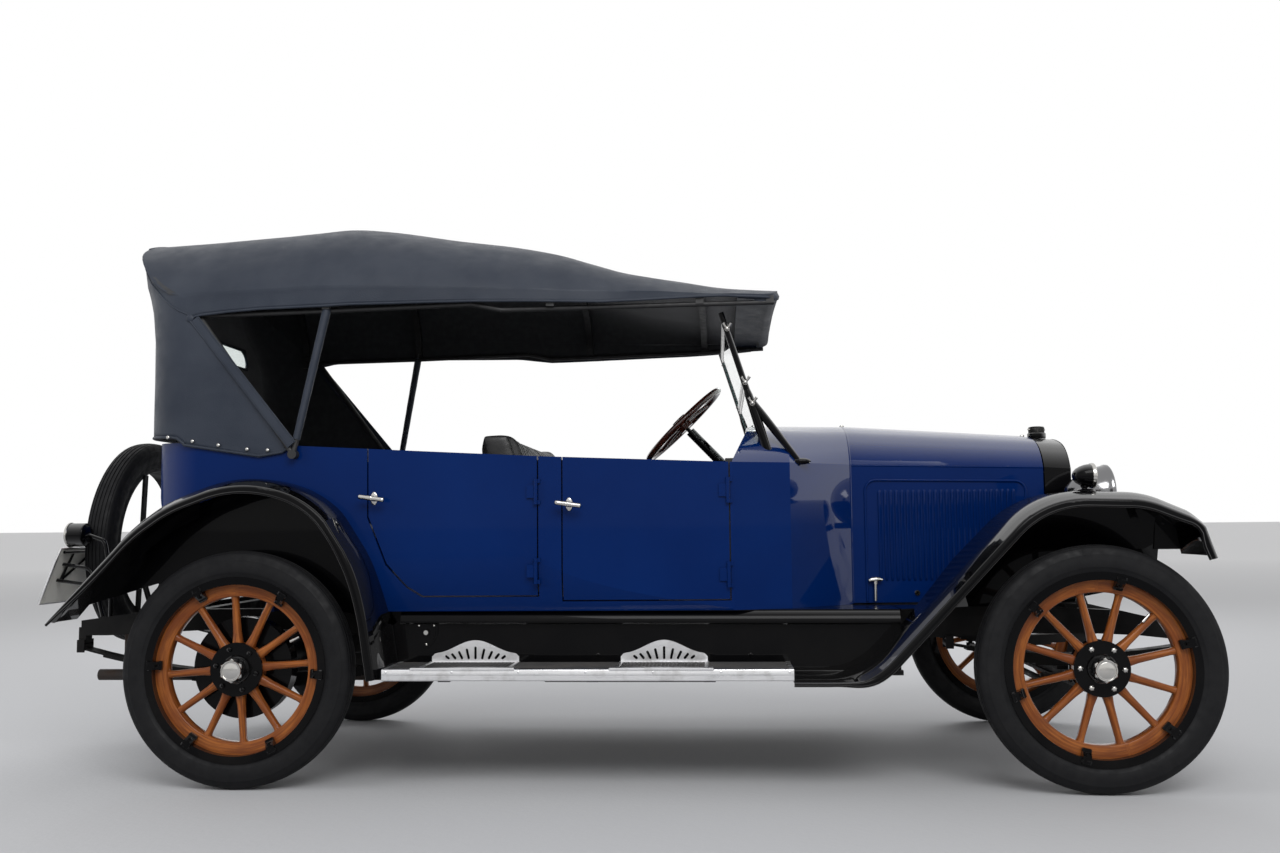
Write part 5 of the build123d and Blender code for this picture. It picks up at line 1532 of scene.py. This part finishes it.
def add_fenders():
    reshaped("rear_fenders", rear_form, inner_wall)
    reshaped("front_fenders", front_form, wall_corner)
    sheets = Piece("inner_sheets", "car", BLACK)
    path = along_side(REAR_FENDER_PATH, REAR_FENDER_BENDS)
    arch = [rear_form((p.x, 612, p.z - 4)) for p in path if p.z > 540 and p.x > -1990]
    low = [(-775, 556), (-1000, 600), (-1300, 660), (-1648, 696), (-1900, 622)]
    sheets.both(plate([(p.x, p.z) for p in arch] + low, 611.5, 615))
    cover = [(p.x, p.z) for p in arch if -1960 < p.x < -1440]
    sheets.both(plate(cover + [(x, z - 80) for x, z in reversed(cover)], 670.6, 674))
    sheets.both(block((600, 990), (598, 622), (371, 388), 1))
    nose = []
    for z, end in ((790, 1983), (815, 1975), (840, 1970), (865, 1963), (890, 1948), (905, 1928)):
        y = 435 + (z - 594.7) * 0.2123
        nose.append([(1890, y, z), (end, y, z), (end, y + 3, z), (1890, y + 3, z)])
    sheets.both(rings(nose))
    for path, bends, form in (
        (REAR_FENDER_PATH, REAR_FENDER_BENDS, rear_form), (FRONT_FENDER_PATH, FRONT_FENDER_BENDS, front_form)
    ):
        sheets.both(tube(fender_lip(path, bends, form), 4.6, 12))
    sheets.done(sharp=50)


def add_cowl():
    """The CAD's cowl, cut back because its rear edge slants forward as it rises."""
    made, shape = copied("cowl")
    cut = bmesh.ops.bisect_plane(
        shape, geom=everything(shape), plane_co=(0.466, 0, 1.112), plane_no=(-0.90, 0, 0.435),
        clear_outer=True, dist=1e-5,
    )
    edges = [e for e in cut["geom_cut"] if isinstance(e, bmesh.types.BMEdge)]
    bmesh.ops.holes_fill(shape, edges=edges, sides=0)
    put_in_place(made, shape, "cowl")


# Exhaust and number plate, drawn anew

EXHAUST_Y = -300
PLATE_TOP = (-2078, 824)
PLATE_LOW = (-2156, 614)


def add_exhaust():
    pipes = Piece("exhaust_forms", "car", "pipe_steel", "pipe_steel", BLACK)

    def straight(stations, z, radii, sides=24):
        return tube([(x, EXHAUST_Y, z) for x in stations], radii, sides)

    pipes.add(straight((-2014, -2020, -1400, -300), 335, [17, 21, 21, 21]))
    pipes.add(straight((-2021, -2012), 335, 17), BLACK)
    pipes.add(straight((-306, -300, -290, 330, 342, 350), 353, [21, 40, 46, 46, 40, 21], 36))
    corners = [(340, EXHAUST_Y, 345), (620, EXHAUST_Y, 335), (1010, -215, 640), (1010, -215, 820)]
    pipes.add(tube(even(rounded(corners, [80, 60], 10), 25), 21, 24))
    pipes.add(bar((1010, -215, 800), (1010, -190.3, 800), 21, 24))
    for x, top in ((-1912, 502.7), (-550, 524.7)):
        pipes.add(block((x - 12, x + 12), (EXHAUST_Y - 4, EXHAUST_Y + 4), (345, top)))
        pipes.add(straight((x - 7, x + 7), 335, 24.5))
    pipes.done("exhaust", sharp=40)


def add_plate():
    made = Piece("plate_forms", "car", "plate_white", "plate_white", BLACK, ALUMINIUM)
    (top_x, top_z), (low_x, low_z) = PLATE_TOP, PLATE_LOW
    sheet = [(top_x - 3, top_z + 1), (low_x - 3, low_z + 1), (low_x, low_z), (top_x, top_z)]
    made.add(plate(sheet, -500, -160))
    (x, z), (foot_x, foot_z) = (top_x - 2, top_z - 2), (low_x - 2, low_z + 3)
    rim = [(x, -497, z), (x, -163, z), (foot_x, -163, foot_z), (foot_x, -497, foot_z), (x, -497, z)]
    made.add(tube(even(rim, 50)[:-1], 4.4, 10, closed=True), ALUMINIUM)
    for y in (-478, -182):
        for share in (0.12, 0.88):
            x, z = top_x + (low_x - top_x) * share - 3, top_z + (low_z - top_z) * share
            made.add(ball((x, y, z), (3, 6, 6), 12), ALUMINIUM)
    post = rounded([(-2116, -440, 765), (-1990, -440, 745), (-1942, -440, 566)], [40])
    for run, radius, sides in (
        (post, 7, 14),
        ([(-2140, -440, 706), (-2060, -440, 693), (-1975, -440, 682)], 7, 14),
        ([(-2083, -400, 806), (-2118, -430, 700)], 5, 10),
        ([(-2083, -262, 806), (-2118, -428, 700)], 5, 10),
        ([(-2074, -480, 808), (-2074, -180, 808)], 6, 12),
    ):
        made.add(tube(run, radius, sides), BLACK)
    made.done("number_plate", sharp=40)


# Dashboard, door cards and door seals

DOORS = [
    # door, rear x, front x, its card's foot, the skin's distance from the middle at the card
    ("rear", -870, -260, 745, 670), ("front", -180, 408, 680, 664),
]
SEALS = [
    # x of the gap, skin's distance from the middle, foot
    (-870, 670, 660), (-260, 670, 650), (-180, 666, 632), (408, 645, 632),
]
CARD_IN = 31
GAUGES = [
    # y, z, radius
    (0, 1120, 42), (-130, 1110, 30), (120, 1110, 30),
]


def add_dash():
    inside = Piece("dash_fittings", "car", NICKEL, NICKEL, BLACK, "plate_white")
    for y, z, radius in GAUGES:
        face = Matrix.Translation((479, y, z)) @ Matrix.Rotation(pi / 2, 4, "Z")
        inside.add(turned([(0, radius), (7, radius), (9, radius - 3), (7, radius - 5)], 40), at=face)
        inside.add(turned([(4.5, 0.01), (4.6, radius - 4), (4, radius - 4)], 40, closed=False), BLACK, face)
        inside.add(turned([(8, 0.01), (7.5, 4), (4.6, 4.5)], 20, closed=False), at=face)
        for k in range(11):
            a = radians(-135 + 27 * k)
            mark = [(473.6, y + r * sin(a), z + r * cos(a)) for r in (radius - 11, radius - 6)]
            inside.add(bar(*mark, 1, 8), "plate_white")
        reach = (radius - 12) * 0.6
        inside.add(bar((472.6, y, z), (472.6, y + reach, z + reach), 1.1, 8), "plate_white")
    for y in (-60, 60):
        inside.add(tube([(x, y, 1060) for x in (480, 462, 458, 454)], [5, 5, 10, 8], 16))
    for y in (235, 300, 375):
        inside.add(tube([(470, y, 640), (455, y, 700), (432, y, 745)], 6, 12), BLACK)
        inside.add(block((418, 434), (y - 26, y + 26), (735, 792), 4), BLACK)
    inside.done(sharp=40)


def add_doors():
    for door, rear_x, front_x, low, skin in DOORS:
        for name, side in SIDES:
            card = Piece(f"card_{door}_{name}", f"door_{door}_{name}", LEATHER, LEATHER, NICKEL)

            def put(x, out, z):
                fall = 34 * max(0, (x - 60) / 350) if door == "front" else 0
                return Vector((x, side * (skin - CARD_IN - fall - out), z))

            rear, front = rear_x + 40, front_x - 34
            grid = []
            for i in range(25):
                u = i / 24
                row = []
                for j in range(13):
                    v = j / 12
                    x = rear * (1 - u) + front * u
                    z = low + (1100 * (1 - u) + 1088 * u - low) * v
                    edge = min(u, 1 - u, v, 1 - v) * 12
                    row.append(put(x, 0.5 + 9 * (1 - DECAY ** (-edge)), z))
                grid.append(row)
            card.add(rings(grid, closed=False))
            corners = ((rear, low), (front, low), (front, 1088), (rear, 1100), (rear, low))
            card.add(tube(even([put(x, 4, z) for x, z in corners], 40)[:-1], 5, 10, closed=True))
            x, z = rear_x + 90, 1020
            card.add(tube([put(x, out, z) for out in (9, 24, 28)], [8, 6, 7], 14), NICKEL)
            card.add(tube([put(x, 26, z), put(x + 46, 30, z - 6)], [6, 4.6], 12), NICKEL)
            card.done(sharp=45)
    seals = Piece("door_seals", "car", LEATHER)
    for x, skin, foot in SEALS:
        inner = skin - CARD_IN
        seals.both(block((x - 16, x + 16), (inner - 6, inner - 1), (foot + 10, 1122), 2))
    seals.done()


def make_floor():
    corners = [(x * FLOOR_HALF, y * FLOOR_HALF, 0) for x, y in ((-1, -1), (1, -1), (1, 1), (-1, 1))]
    data = bpy.data.meshes.new("floor_plane")
    data.from_pydata(corners, [], [(0, 1, 2, 3)])
    ground = Finish("studio_floor", FLOOR_NEAR, 0.75)
    distance = ground.node("VectorMath", ground.place((1 / 26, 1 / 26, 1)), operation="LENGTH")
    ground.tint(ground.span(distance.outputs["Value"], 0.12, 1.0), FLOOR_FAR).bump((40, 5), 0.0015)
    data.materials.append(ground.material)
    linked("studio_ground", data)


add_top()
add_fenders()
add_cowl()
add_exhaust()
add_plate()
add_dash()
add_doors()
add_boards()
add_hood()
add_radiator()
add_handles()
add_windshield()
add_lamps()
add_seats()
make_camera()
make_world()
bpy.context.scene.view_settings.view_transform = "Standard"
add_lights()
make_floor()
